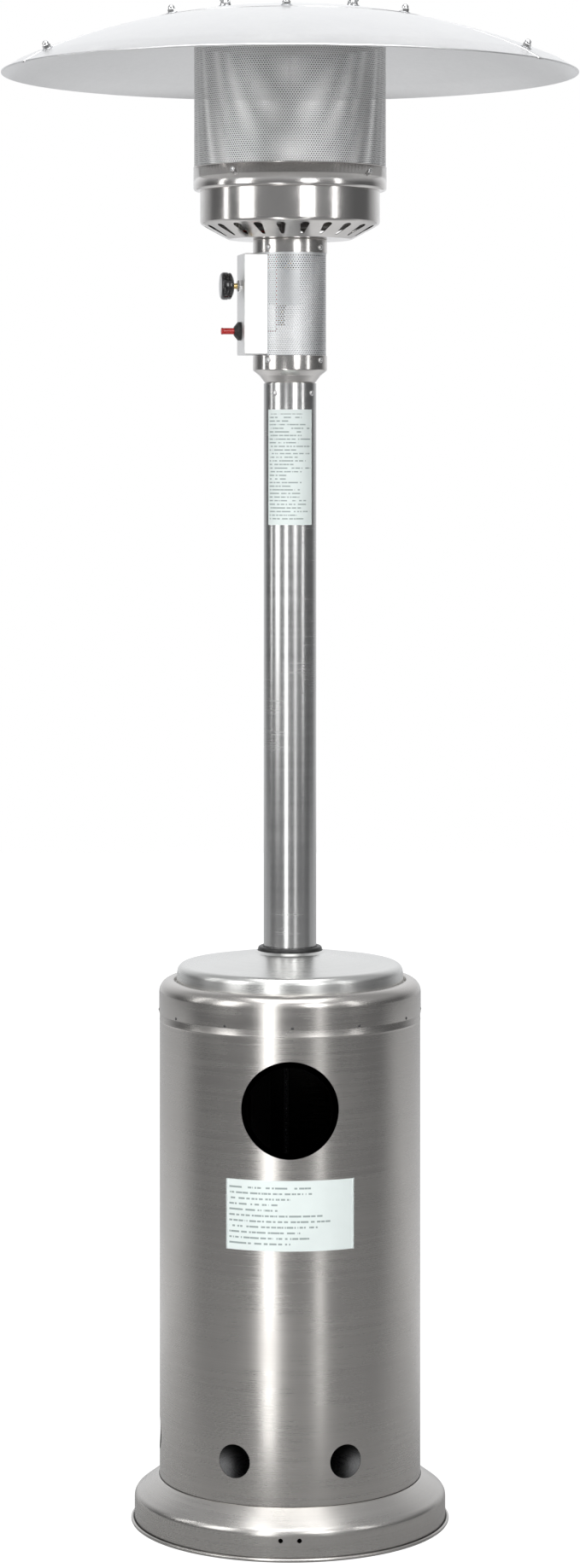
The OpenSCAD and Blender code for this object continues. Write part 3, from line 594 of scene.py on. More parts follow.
@dataclass(frozen=True)
class PrintedFilm:
    """A pale film printed with rows of plain bars."""

    name: str
    node: str
    pitch: float
    radius: float
    half_width: float
    colour: tuple[float, float, float] = (0.80, 0.87, 0.85)
    ink: tuple[float, float, float] = (0.16, 0.22, 0.21)

    def build(self, effects: Effects) -> bpy.types.Material:
        """Builds the material.

        Args:
            effects: The shared node groups.

        Returns:
            The material.
        """
        material, tree, shader = start_material(self.name)
        low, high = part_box(self.node)
        print_node = place_group(
            tree, effects.printed, Pitch=self.pitch, Radius=self.radius,
            Half_Width=self.half_width, Height_Low=low.z + 0.006, Height_High=high.z - 0.006,
        )
        skin = place_group(tree, effects.moulded, Size=500.0)
        paper = mix_colours(tree, skin.outputs["Mottle"], scaled(self.colour, 0.95),
                            scaled(self.colour, 1.04))
        mixed = tree.node("Mix", data_type="RGBA")
        tree.link(tree.math("MULTIPLY", print_node.outputs["Ink"], 0.75), mixed.inputs["Factor"])
        tree.link(paper, mixed.inputs["A"])
        mixed.inputs["B"].default_value = (*self.ink, 1.0)
        tree.link(mixed.outputs["Result"], shader.inputs["Base Color"])
        tree.link(tree.ramp(skin.outputs["Mottle"], 0.3, 0.7, (0.38, 0.46)),
                  shader.inputs["Roughness"])
        return material


# --- Mesh building ---


def rounded(path: Sequence[Sequence[float]], steps: int = 8) -> list[Point2]:
    """Rounds the corners of a path.

    Args:
        path: Points as (radius, height) or (radius, height, fillet radius).
        steps: Straight steps in each fillet.

    Returns:
        The points of the rounded path.
    """
    points: list[Point2] = []
    for i, here in enumerate(path):
        if 0 < i < len(path) - 1 and len(here) > 2:
            corner = Vector(here[:2])
            back = (Vector(path[i - 1][:2]) - corner).normalized()
            on = (Vector(path[i + 1][:2]) - corner).normalized()
            half = back.angle(on) / 2
            reach = here[2] / math.tan(half)
            centre = corner + (back + on).normalized() * here[2] / math.sin(half)
            start = corner + back * reach - centre
            sweep = start.angle_signed(corner + on * reach - centre)
            for k in range(steps + 1):
                turned = Matrix.Rotation(-sweep * k / steps, 2) @ start
                points.append(tuple(centre + turned))
        else:
            points.append((here[0], here[1]))
    return points


def shifted(points: Sequence[Point2], offset: float) -> list[Point2]:
    """Moves a path sideways to its left, mitred at its corners.

    Args:
        points: The path.
        offset: How far it moves.

    Returns:
        The moved path.
    """
    vectors = [Vector(p) for p in points]
    normals = []
    for a, b in zip(vectors, vectors[1:]):
        d = (b - a).normalized()
        normals.append(Vector((-d.y, d.x)))
    moved = []
    for i, p in enumerate(vectors):
        n0 = normals[max(i - 1, 0)]
        n1 = normals[min(i, len(normals) - 1)]
        moved.append(tuple(p + offset * (n0 + n1) / (1.0 + n0.dot(n1))))
    return moved


class Draft:
    """A mesh under construction: welded points, and faces that carry their own normals."""

    def __init__(self) -> None:
        """Starts an empty mesh."""
        self.points: list[Vector] = []
        self.places: dict[tuple[int, int, int], int] = {}
        self.faces: list[tuple[int, ...]] = []
        self.normals: list[Vector] = []

    def point(self, p: Vector) -> int:
        """Adds a point, or finds the one that is already there.

        Args:
            p: Its place in metres.

        Returns:
            The point's number.
        """
        key = (round(p.x * 2e6), round(p.y * 2e6), round(p.z * 2e6))
        found = self.places.get(key)
        if found is None:
            found = len(self.points)
            self.places[key] = found
            self.points.append(p)
        return found

    def face(self, corners: Sequence[Vector], normals: Sequence[Vector]) -> None:
        """Adds a face, and skips one that has shrunk to a line.

        Args:
            corners: Its corners, counter-clockwise from outside.
            normals: The normal at each corner.
        """
        numbers = [self.point(c) for c in corners]
        kept = [k for k, n in enumerate(numbers) if n != numbers[k - 1]]
        if len(kept) > 2 and len({numbers[k] for k in kept}) == len(kept):
            self.faces.append(tuple(numbers[k] for k in kept))
            self.normals.extend(normals[k] for k in kept)

    def flat(self, corners: Sequence[Vector]) -> None:
        """Adds a flat face with one normal."""
        normal = (corners[1] - corners[0]).cross(corners[-1] - corners[0]).normalized()
        self.face(corners, [normal] * len(corners))

    def build(self, name: str) -> bpy.types.Object:
        """Makes the Blender object.

        Args:
            name: The object's name.

        Returns:
            The new object, linked to the scene.
        """
        mesh = bpy.data.meshes.new(name)
        mesh.from_pydata([tuple(p) for p in self.points], [], self.faces)
        mesh.polygons.foreach_set("use_smooth", [True] * len(self.faces))
        mesh.normals_split_custom_set([tuple(n) for n in self.normals])
        made = bpy.data.objects.new(name, mesh)
        bpy.context.scene.collection.objects.link(made)
        return made


def spin(point: Point2, turn: float) -> Vector:
    """Returns the place of a (radius, height) point in millimetres at an azimuth in radians.

    Args:
        point: The point as (radius, height) in millimetres.
        turn: The azimuth in radians.

    Returns:
        The point in metres.
    """
    return Vector(
        (point[0] * math.sin(turn), -point[0] * math.cos(turn), point[1])
    ) * MM


def spin_normal(normal: Point2, turn: float) -> Vector:
    """Returns a profile's normal turned round to an azimuth in radians."""
    return Vector((normal[0] * math.sin(turn), -normal[0] * math.cos(turn), normal[1]))


def corner_normals(
    points: Sequence[Point2], closed: bool, crease: float = 40.0
) -> list[tuple[Vector, Vector]]:
    """Works out a profile's normals at both ends of each of its straight steps.

    Args:
        points: The profile, traced so that its outside is on the right.
        closed: Whether the last point joins the first.
        crease: The bend, in degrees, from which a corner stays sharp.

    Returns:
        The start and end normal of each step.
    """
    count = len(points)
    steps = count if closed else count - 1
    sides = []
    for i in range(steps):
        d = Vector(points[(i + 1) % count]) - Vector(points[i])
        d = d.normalized() if d.length > 1e-9 else Vector((0.0, 1.0))
        sides.append(Vector((d.y, -d.x)))
    result = []
    limit = math.cos(math.radians(crease))
    for i, side in enumerate(sides):
        before = sides[i - 1] if closed or i > 0 else side
        after = sides[(i + 1) % steps] if closed or i < steps - 1 else side
        start = (side + before).normalized() if side.dot(before) > limit else side
        end = (side + after).normalized() if side.dot(after) > limit else side
        result.append((start, end))
    return result


def lathe(
    draft: Draft,
    points: Sequence[Point2],
    closed: bool = True,
    arc: Point2 = (0.0, 360.0),
    segments: int = 96,
    crease: float = 40.0,
) -> None:
    """Turns a profile round the heater's axis.

    Args:
        draft: The mesh to add to.
        points: The profile in millimetres, its outside on the right of its path.
        closed: Whether the profile is a closed outline.
        arc: The first and last azimuth in degrees.
        segments: Steps in a full turn.
        crease: The bend from which a corner stays sharp.
    """
    whole = abs(arc[1] - arc[0]) >= 359.9
    count = max(2, round(segments * (arc[1] - arc[0]) / 360.0))
    turns = [math.radians(arc[0] + (arc[1] - arc[0]) * k / count) for k in range(count + 1)]
    if whole:
        turns[-1] = turns[0]
    normals = corner_normals(points, closed, crease)
    for i, (n0, n1) in enumerate(normals):
        p, q = points[i], points[(i + 1) % len(points)]
        for a, b in zip(turns, turns[1:]):
            draft.face(
                [spin(p, a), spin(p, b), spin(q, b), spin(q, a)],
                [spin_normal(n, t) for n, t in ((n0, a), (n0, b), (n1, b), (n1, a))],
            )
    if closed and not whole:
        draft.flat([spin(p, turns[0]) for p in reversed(points)])
        draft.flat([spin(p, turns[-1]) for p in points])


def sheet_outline(path: Sequence[Sequence[float]], thickness: float) -> list[Point2]:
    """Outline of a pressed sheet whose outer face is the path.

    Args:
        path: The outer face, traced so that the sheet lies on its left.
        thickness: The sheet's thickness.

    Returns:
        The closed outline, outside on the right of its path.
    """
    outer = rounded(path)
    return outer + list(reversed(shifted(outer, thickness)))


def circle_points(radius: float, count: int, centre: Point2 = (0.0, 0.0)) -> list[Point2]:
    """Returns a circle's points, counter-clockwise.

    Args:
        radius: The circle's radius.
        count: How many points.
        centre: The circle's centre.

    Returns:
        The points, counter-clockwise.
    """
    return [
        (
            centre[0] + radius * math.cos(math.tau * k / count),
            centre[1] + radius * math.sin(math.tau * k / count),
        )
        for k in range(count)
    ]


@dataclass(frozen=True)
class Stretch:
    """A straight stretch of a turned sheet, unrolled: u runs round it and v along it."""

    low: Point2
    high: Point2
    low_in: Point2
    high_in: Point2

    @property
    def length(self) -> float:
        """Length of the stretch."""
        return (Vector(self.high) - Vector(self.low)).length

    @property
    def radius(self) -> float:
        """Radius at which u is measured."""
        return (self.low[0] + self.high[0]) / 2

    def place(self, u: float, v: float, inner: bool) -> tuple[Vector, Vector]:
        """Places an unrolled point on the sheet.

        Args:
            u: Distance round the sheet.
            v: Distance along it.
            inner: Whether the point is on the inner face.

        Returns:
            The point and the outward normal there.
        """
        low, high = Vector(self.low), Vector(self.high)
        d = (high - low).normalized()
        out = (d.y, -d.x)
        if inner:
            low, high = Vector(self.low_in), Vector(self.high_in)
        turn = u / self.radius
        return spin(tuple(low.lerp(high, v / self.length)), turn), spin_normal(out, turn)


def inside(p: Point2, outline: Sequence[Point2]) -> bool:
    """Tells whether a point lies inside an outline.

    Args:
        p: The point.
        outline: The closed outline.

    Returns:
        True if the point lies inside.
    """
    hit = False
    for (ax, ay), (bx, by) in zip(outline, [*outline[1:], outline[0]]):
        if (ay > p[1]) != (by > p[1]) and p[0] < (bx - ax) * (p[1] - ay) / (by - ay) + ax:
            hit = not hit
    return hit


def distance(p: Point2, outline: Sequence[Point2]) -> float:
    """Returns the distance from a point to an outline's nearest corner."""
    return min(math.hypot(p[0] - q[0], p[1] - q[1]) for q in outline)


def pierced_band(
    draft: Draft,
    stretch: Stretch,
    holes: Sequence[Sequence[Point2]],
    segments: int = 96,
    row: float = 24.0,
) -> None:
    """Builds a straight stretch of turned sheet with holes through it.

    Args:
        draft: The mesh to add to.
        stretch: The stretch of sheet.
        holes: Outlines of the holes, unrolled.
        segments: Columns round the full turn.
        row: Distance between rows of points.
    """
    around = math.tau * stretch.radius
    rows = max(1, round(stretch.length / row))
    us = [around * k / segments - around / 2 for k in range(segments + 1)]
    vs = [stretch.length * k / rows for k in range(rows + 1)]
    spots: list[Point2] = []
    edges: list[Point2] = []
    for j, v in enumerate(vs):
        for i, u in enumerate(us):
            rim = j in (0, rows) or i in (0, segments)
            near = [h for h in holes if distance((u, v), h) < 3.0 or inside((u, v), h)]
            if rim or not near:
                spots.append((u, v))
    loops = []
    for hole in holes:
        start = len(spots)
        spots.extend(hole)
        loops.append([start + k for k in range(len(hole))])
    for loop in loops:
        edges.extend(zip(loop, loop[1:] + loop[:1]))
    found = {s: k for k, s in enumerate(spots)}
    for line in (
        [(u, vs[0]) for u in us],
        [(u, vs[-1]) for u in us],
        [(us[0], v) for v in vs],
        [(us[-1], v) for v in vs],
    ):
        numbers = [found[s] for s in line]
        edges.extend(zip(numbers, numbers[1:]))
    verts, _, faces, *_ = delaunay_2d_cdt(
        [Vector(s) for s in spots], edges, [], 0, 1e-6, False
    )
    for face in faces:
        flat = [tuple(verts[k]) for k in face]
        middle = (sum(p[0] for p in flat) / len(flat), sum(p[1] for p in flat) / len(flat))
        if any(inside(middle, h) for h in holes):
            continue
        outer = [stretch.place(*p, False) for p in flat]
        inner = [stretch.place(*p, True) for p in reversed(flat)]
        draft.face([p for p, _ in outer], [n for _, n in outer])
        draft.face([p for p, _ in inner], [-n for _, n in inner])
    for hole in holes:
        cx = sum(p[0] for p in hole) / len(hole)
        cy = sum(p[1] for p in hole) / len(hole)
        for a, b in zip(hole, [*hole[1:], hole[0]]):
            corners = []
            normals = []
            for p, inner in ((a, False), (b, False), (b, True), (a, True)):
                spot, _ = stretch.place(*p, inner)
                centre, _ = stretch.place(cx, cy, inner)
                corners.append(spot)
                normals.append((centre - spot).normalized())
            draft.face(corners, normals)


def perforated(
    draft: Draft,
    radius: float,
    bottom: float,
    top: float,
    arc: Point2 = (0.0, 360.0),
    pitch: float = 3.8,
    row: float = 3.0,
    hole: float = 2.0,
) -> None:
    """Builds a round sheet with staggered rows of fine holes.

    Args:
        draft: The mesh to add to.
        radius: The sheet's radius.
        bottom: Height of its lower edge.
        top: Height of its upper edge.
        arc: The first and last azimuth in degrees.
        pitch: Distance between holes round the sheet.
        row: Distance between rows.
        hole: Diameter of a hole.
    """
    span = math.radians(arc[1] - arc[0])
    count = max(3, round(span * radius / pitch))
    rows = max(1, round((top - bottom) / row))
    step = span / count
    lift = (top - bottom) / rows
    start = math.radians(arc[0])
    half = step / 2
    sides = [(half, lift / 3), (half, -lift / 3), (0.0, -lift * 2 / 3),
             (-half, -lift / 3), (-half, lift / 3), (0.0, lift * 2 / 3)]
    rim = [math.radians(a) for a in (30, -30, -90, -150, 150, 90)]
    for j in range(rows):
        z = bottom + lift * (j + 0.5)
        for i in range(count):
            turn = start + step * (i + (0.5 if j % 2 else 0.0))
            corners = [(turn + a, min(max(z + b, bottom), top)) for a, b in sides]
            inner = [
                (turn + hole / 2 / radius * math.cos(a), z + hole / 2 * math.sin(a))
                for a in rim
            ]
            for k in range(6):
                m = (k + 1) % 6
                quad = (corners[m], corners[k], inner[k], inner[m])
                draft.face(
                    [spin((radius, q[1]), q[0]) for q in quad],
                    [spin_normal((1.0, 0.0), q[0]) for q in quad],
                )


def pierced_sheet(
    draft: Draft,
    path: Sequence[Sequence[float]],
    thickness: float,
    step: int,
    holes: Sequence[Sequence[Point2]],
    segments: int = 96,
    row: float = 24.0,
) -> None:
    """Turns a pressed sheet whose one straight stretch has holes through it.

    Args:
        draft: The mesh to add to.
        path: The sheet's outer face, with the sheet on its left.
        thickness: The sheet's thickness.
        step: Number of the straight step of the rounded path that has the holes.
        holes: Outlines of the holes, unrolled on that step.
        segments: Steps in a full turn.
        row: Distance between rows of points on the pierced stretch.
    """
    outer = rounded(path)
    inner = shifted(outer, thickness)
    for points in (outer[: step + 1], outer[step + 1 :]):
        if len(points) > 1:
            lathe(draft, points, closed=False, segments=segments)
    for points in (inner[: step + 1], inner[step + 1 :]):
        if len(points) > 1:
            lathe(draft, list(reversed(points)), closed=False, segments=segments)
    lathe(draft, [inner[0], outer[0]], closed=False, segments=segments)
    lathe(draft, [outer[-1], inner[-1]], closed=False, segments=segments)
    stretch = Stretch(outer[step], outer[step + 1], inner[step], inner[step + 1])
    pierced_band(draft, stretch, holes, segments, row)


def prism(
    draft: Draft, outline: Sequence[Point2], low: float, high: float, place: Matrix,
    bevel: float = 0.0,
) -> None:
    """Extrudes a convex outline along its own Z, with a bevelled top edge.

    Args:
        draft: The mesh to add to.
        outline: The outline in millimetres, counter-clockwise.
        low: Where it starts.
        high: Where it ends.
        place: Moves the prism, in millimetres, to where it belongs.
        bevel: Width of the bevel round its top face.
    """
    centre = Vector((sum(p[0] for p in outline), sum(p[1] for p in outline))) / len(outline)
    top = [tuple(Vector(p) + (centre - Vector(p)).normalized() * bevel) for p in outline]
    layers = [(outline, low), (outline, high - bevel)]
    if bevel:
        layers.append((top, high))
    rings = [[(place @ Vector((*p, z))) * MM for p in ring] for ring, z in layers]
    for a, b in zip(rings, rings[1:]):
        for i in range(len(a)):
            j = (i + 1) % len(a)
            draft.flat([a[i], a[j], b[j], b[i]])
    draft.flat(rings[-1])
    draft.flat(list(reversed(rings[0])))


def turned(
    draft: Draft, points: Sequence[Point2], place: Matrix, segments: int = 32,
    crease: float = 40.0,
) -> None:
    """Turns an outline round its own Z and puts it in place.

    Args:
        draft: The mesh to add to.
        points: The open outline as (radius, height), its outside on the right.
        place: Moves the piece, in millimetres, to where it belongs.
        segments: Steps in a full turn.
        crease: The bend from which a corner stays sharp.
    """
    own = Draft()
    lathe(own, points, closed=False, segments=segments, crease=crease)
    shift = Matrix.Diagonal((MM, MM, MM, 1.0)) @ place @ Matrix.Diagonal((1 / MM,) * 3 + (1.0,))
    spin_only = place.to_3x3()
    k = 0
    for face in own.faces:
        draft.face(
            [shift @ own.points[i] for i in face],
            [spin_only @ own.normals[k + m] for m in range(len(face))],
        )
        k += len(face)


def radial_place(az: float, z: float, reach: float) -> Matrix:
    """Returns a place at an azimuth and a height whose Z points outwards, in millimetres.

    Args:
        az: The azimuth in degrees.
        z: The height.
        reach: The distance from the axis.

    Returns:
        The place.
    """
    turn = Matrix.Rotation(math.radians(az), 4, "Z")
    return (
        turn
        @ Matrix.Translation((0.0, -reach, z))
        @ Matrix.Rotation(math.radians(90), 4, "X")
    )


def node_box(node: str) -> tuple[Vector, Vector]:
    """Returns a CAD node's lowest and highest corners in millimetres."""
    low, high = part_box(node)
    return low / MM, high / MM


def rounded_rect(width: float, height: float, radius: float, steps: int = 4) -> list[Point2]:
    """Returns a rectangle's outline with rounded corners, counter-clockwise.

    Args:
        width: Its width.
        height: Its height.
        radius: Its corner radius.
        steps: Straight steps in a corner.

    Returns:
        The outline's points.
    """
    points = []
    for k, (sx, sy) in enumerate(((1, 1), (-1, 1), (-1, -1), (1, -1))):
        cx, cy = sx * (width / 2 - radius), sy * (height / 2 - radius)
        for i in range(steps + 1):
            a = math.pi / 2 * (k + i / steps)
            points.append((cx + radius * math.cos(a), cy + radius * math.sin(a)))
    return points


def loft(
    draft: Draft, rings: Sequence[tuple[list[Point2], float]], place: Matrix,
    face: tuple[list[Point2], float],
) -> None:
    """Joins rings of equal count into a folded sheet with a flat front and its inner face.

    Args:
        draft: The mesh to add to.
        rings: Each ring's outline and depth, from the outer skin to the inner skin.
        place: Moves the sheet, in millimetres, to where it belongs.
        face: The ring that bounds the front face.
    """
    spots = [[(place @ Vector((*p, d))) * MM for p in outline] for outline, d in rings]
    front = rings.index(face)
    for k, (a, b) in enumerate(zip(spots, spots[1:])):
        if k == front:
            continue
        for i in range(len(a)):
            j = (i + 1) % len(a)
            draft.flat([a[i], a[j], b[j], b[i]])
    draft.flat(spots[front])
    draft.flat(list(reversed(spots[front + 1])))
    first, last = spots[0], spots[-1]
    for i in range(len(first)):
        j = (i + 1) % len(first)
        draft.flat([first[j], first[i], last[i], last[j]])


def wing_nut(draft: Draft, r: float, place: Matrix) -> None:
    """Builds a wing nut for a thread of radius r.

    Args:
        draft: The mesh to add to.
        r: Radius of its thread.
        place: Moves the nut, in millimetres, to where it stands.
    """
    hub = rounded([(2.0 * r, 0.0), (2.0 * r, 0.35 * r), (1.6 * r, 2.0 * r, 0.4), (r, 2.0 * r)], 4)
    turned(draft, hub, place, 32)
    for side in (-1, 1):
        stations = [(1.2, 0.3, 1.7, 0.42), (2.0, 0.6, 2.2, 0.38), (3.0, 1.3, 3.0, 0.34),
                    (3.8, 2.0, 3.15, 0.3), (4.2, 2.4, 2.9, 0.18)]
        rings = []
        for x, low, high, half in stations:
            ring = rounded_rect(2 * half * r, (high - low) * r, 0.45 * half * r, 3)
            rings.append([(place @ Vector((side * x * r, p[0], p[1] + (low + high) * r / 2))) * MM
                          for p in ring])
        for a, b in zip(rings, rings[1:]):
            for i in range(len(a)):
                j = (i + 1) % len(a)
                quad = [a[i], a[j], b[j], b[i]]
                draft.flat(quad if side > 0 else list(reversed(quad)))
        end = rings[-1]
        draft.flat(end if side > 0 else list(reversed(end)))


def hole_on_shell(radius: float, shell_r: float, az: float, v: float, count: int) -> list[Point2]:
    """Unrolls a round hole that is drilled straight through a round shell.

    Args:
        radius: The drill's radius.
        shell_r: The shell's radius.
        az: Azimuth of the hole's centre in degrees.
        v: Height of the hole's centre above the unrolled sheet's lower edge.
        count: Points round the hole.

    Returns:
        The hole's unrolled outline, counter-clockwise.
    """
    centre = shell_r * math.radians(az)
    return [
        (centre + shell_r * math.asin(x / shell_r), v + y)
        for x, y in circle_points(radius, count)
    ]


@dataclass
class Workshop:
    """Everything that dresses a finished piece and mounts it on its body."""

    frame: dict
    finishes: dict[str, bpy.types.Material]

    def mount(
        self, piece: bpy.types.Object, body: Body, finish: str, *nodes: str
    ) -> bpy.types.Object:
        """Dresses a piece, mounts it on its body and lets it stand for its CAD nodes.

        Args:
            piece: The piece, in its place.
            body: The body that it rides on.
            finish: The finish's name.
            *nodes: The CAD nodes that it replaces.

        Returns:
            The same piece.
        """
        piece.data.materials.clear()
        piece.data.materials.append(self.finishes[finish])
        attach(piece, body.value)
        if nodes:
            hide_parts(*nodes)
        log.info("%s: %d faces, %s", piece.name, len(piece.data.polygons), finish)
        return piece

    def keep(self, node: str, finish: str) -> None:
        """Gives a CAD node that stays its finish.

        Args:
            node: The node's name.
            finish: The finish's name.
        """
        made = self.frame["nodes"][node]
        made.data.materials.clear()
        made.data.materials.append(self.finishes[finish])


# --- Studio ---


@dataclass(frozen=True)
class SoftBox:
    """A rectangular soft light that faces the heater."""

    name: str
    azimuth: float
    distance: float
    height: float
    width: float
    tall: float
    power: float
    aim: float = 1.1


@dataclass
class Studio:
    """The camera, the soft lights, the pale floor and the bright room round the heater."""

    camera_place: tuple[float, float, float] = (0.0, -5.55, 1.5508)
    lens: float = 88.19
    rise: float = -0.2170
    back_wall: Ramp = (0.45, 0.95, (0.0, 0.8))
    front_wall: Ramp = (-0.8, 0.0, (0.26, 0.12))
    ceiling: Ramp = (0.12, 0.5, (0.0, 0.34))
    lights: tuple[SoftBox, ...] = (
        SoftBox("key_strip", -16.0, 0.8, 0.80, 0.13, 1.6, 2.4, 0.8),
        SoftBox("fill_strip", 23.0, 0.85, 0.80, 0.07, 1.6, 0.65, 0.8),
        SoftBox("left_card", -56.0, 3.0, 2.1, 1.0, 2.2, 20.0, 1.9),
        SoftBox("right_card", 22.0, 3.4, 2.3, 0.9, 1.5, 22.0, 1.9),
        SoftBox("right_edge", 58.0, 3.0, 2.1, 0.20, 2.2, 7.0, 1.9),
        SoftBox("left_edge", -88.0, 3.0, 2.1, 0.24, 2.2, 6.0, 1.9),
        SoftBox("overhead", 0.0, 1.2, 4.4, 3.0, 3.0, 95.0, 1.8),
    )

    def make_camera(self) -> None:
        """Makes the level camera that looks at the heater's front."""
        data = bpy.data.cameras.new("view_camera")
        data.lens = self.lens
        data.sensor_width = 36.0
        data.sensor_fit = "AUTO"
        data.shift_y = self.rise
        data.clip_end = 60.0
        camera = bpy.data.objects.new("view_camera", data)
        camera.location = self.camera_place
        camera.rotation_euler = (math.radians(90), 0.0, 0.0)
        bpy.context.scene.collection.objects.link(camera)
        bpy.context.scene.camera = camera

    def make_lights(self) -> None:
        """Makes the soft boxes, each aimed at a point on the heater's axis."""
        for box in self.lights:
            data = bpy.data.lights.new(box.name, "AREA")
            data.shape = "RECTANGLE"
            data.size = box.width
            data.size_y = box.tall
            data.energy = box.power
            light = bpy.data.objects.new(box.name, data)
            turn = math.radians(box.azimuth)
            light.location = (
                box.distance * math.sin(turn), -box.distance * math.cos(turn), box.height
            )
            aim = Vector((0.0, 0.0, box.aim)) - light.location
            light.rotation_euler = aim.to_track_quat("-Z", "Y").to_euler()
            bpy.context.scene.collection.objects.link(light)

    def make_world(self) -> None:
        """Makes a room that is white to the eye; the metal reflects grey sides and a pale back."""
        world = bpy.data.worlds.new("studio_room")
        world.use_nodes = True
        tree = Tree(world.node_tree)
        tree.tree.nodes.clear()
        path = tree.node("LightPath")
        seen = tree.node("Background")
        seen.inputs["Color"].default_value = (1.0, 1.0, 1.0, 1.0)
        place = tree.node("TexCoord")
        split = tree.node("SeparateXYZ")
        tree.link(place.outputs["Generated"], split.inputs[0])
        back = tree.ramp(split.outputs["Y"], *self.back_wall)
        front = tree.ramp(split.outputs["Y"], *self.front_wall)
        room = tree.node("Background")
        upper = tree.ramp(split.outputs["Z"], *self.ceiling)
        walls = tree.math("ADD", back, front)
        tree.link(tree.math("ADD", walls, upper), room.inputs["Strength"])
        room.inputs["Color"].default_value = (0.97, 0.98, 1.0, 1.0)
        mix = tree.node("MixShader")
        out = tree.node("OutputWorld")
        tree.link(path.outputs["Is Camera Ray"], mix.inputs[0])
        tree.link(room.outputs[0], mix.inputs[1])
        tree.link(seen.outputs[0], mix.inputs[2])
        tree.link(mix.outputs[0], out.inputs["Surface"])
        bpy.context.scene.world = world
        bpy.context.scene.view_settings.view_transform = "Standard"

    def make_floor(self) -> None:
        """Makes the pale floor under the heater."""
        draft = Draft()
        reach = FLOOR_REACH * MM
        draft.flat([Vector((x * reach, y * reach, 0.0))
                    for x, y in ((-1, -1), (1, -1), (1, 1), (-1, 1))])
        floor = draft.build("studio_floor")
        material, tree, shader = start_material("floor_paper")
        shader.inputs["Roughness"].default_value = 0.9
        place = tree.node("TexCoord")
        cloud = tree.node("TexNoise")
        cloud.inputs["Scale"].default_value = 0.8
        tree.link(place.outputs["Object"], cloud.inputs["Vector"])
        split = tree.node("SeparateXYZ")
        tree.link(place.outputs["Object"], split.inputs[0])
        far = tree.ramp(split.outputs["Y"], -0.3, 1.2)
        cloudy = tree.math("MULTIPLY", cloud.outputs["Fac"], 0.08)
        colour = mix_colours(tree, tree.math("ADD", far, cloudy), FLOOR_NEAR, FLOOR_FAR)
        tree.link(colour, shader.inputs["Base Color"])
        glow = tree.node("Emission")
        path = tree.node("LightPath")
        mix = tree.node("MixShader")
        level = tree.node("VectorMath", operation="LENGTH")
        tree.link(place.outputs["Object"], level.inputs[0])
        outside = tree.math("GREATER_THAN", level.outputs["Value"], FOOT_R)
        glows = tree.math("MULTIPLY", path.outputs["Is Camera Ray"], outside)
        tree.link(tree.math("MULTIPLY", glows, 0.85), mix.inputs[0])
        tree.link(shader.outputs[0], mix.inputs[1])
        tree.link(glow.outputs[0], mix.inputs[2])
        glow.inputs["Strength"].default_value = 1.25
        tree.link(mix.outputs[0], tree.tree.nodes["Material Output"].inputs["Surface"])
        floor.data.materials.append(material)

    def build(self) -> None:
        """Makes the whole studio."""
        self.make_camera()
        self.make_lights()
        self.make_world()
        self.make_floor()
        log.info("studio: camera, %d soft boxes, room and floor", len(self.lights))


# --- Sub-assemblies ---


@dataclass
class HeaterBase:
    """The dished base with its rolled bead and its two wheel-kit holes."""

    shop: Workshop
    thickness: float = 1.2
    bead_r: float = 2.565
    bead_offset: float = 2.43
    bead_reach: float = 4.995
    flare: float = 34.0
    ledge_w: float = 7.0
    slope_h: float = 25.0
    hole_r: float = 3.25
    hole_gap: float = 26.3
    hole_z: float = 29.3
    slide_gap: float = 0.3
    foot_z: float = 2.7
    skirt_fillet: float = 13.0
    ledge_fillet: float = 4.0
    step_fillet: float = 2.0

    def build(self) -> None:
        """Builds and dresses the base pan."""
        _, high = node_box("base_pan")
        ledge_z = node_box("tank_shell")[0].z - self.slide_gap
        skirt_r = high.x - self.bead_reach
        ledge_r = skirt_r - self.flare
        step_r = ledge_r - self.ledge_w
        foot = self.foot_z
        draft = Draft()
        holes = [
            circle_points(self.hole_r, 20, (side * self.hole_gap / 2, self.hole_z - foot))
            for side in (-1, 1)
        ]
        pierced_sheet(
            draft,
            [(skirt_r, foot), (skirt_r, ledge_z - self.slope_h, self.skirt_fillet),
             (ledge_r, ledge_z, self.ledge_fillet),
             (step_r, ledge_z), (step_r, high.z, self.step_fillet), (0.0, high.z)],
            self.thickness, 0, holes, 144, 8.0,
        )
        bead = circle_points(self.bead_r, 16, (skirt_r + self.bead_offset - 0.13, self.bead_r))
        lathe(draft, bead, segments=144, crease=60.0)
        self.shop.mount(draft.build("dished_base"), Body.STAND, "base_steel", "base_pan")


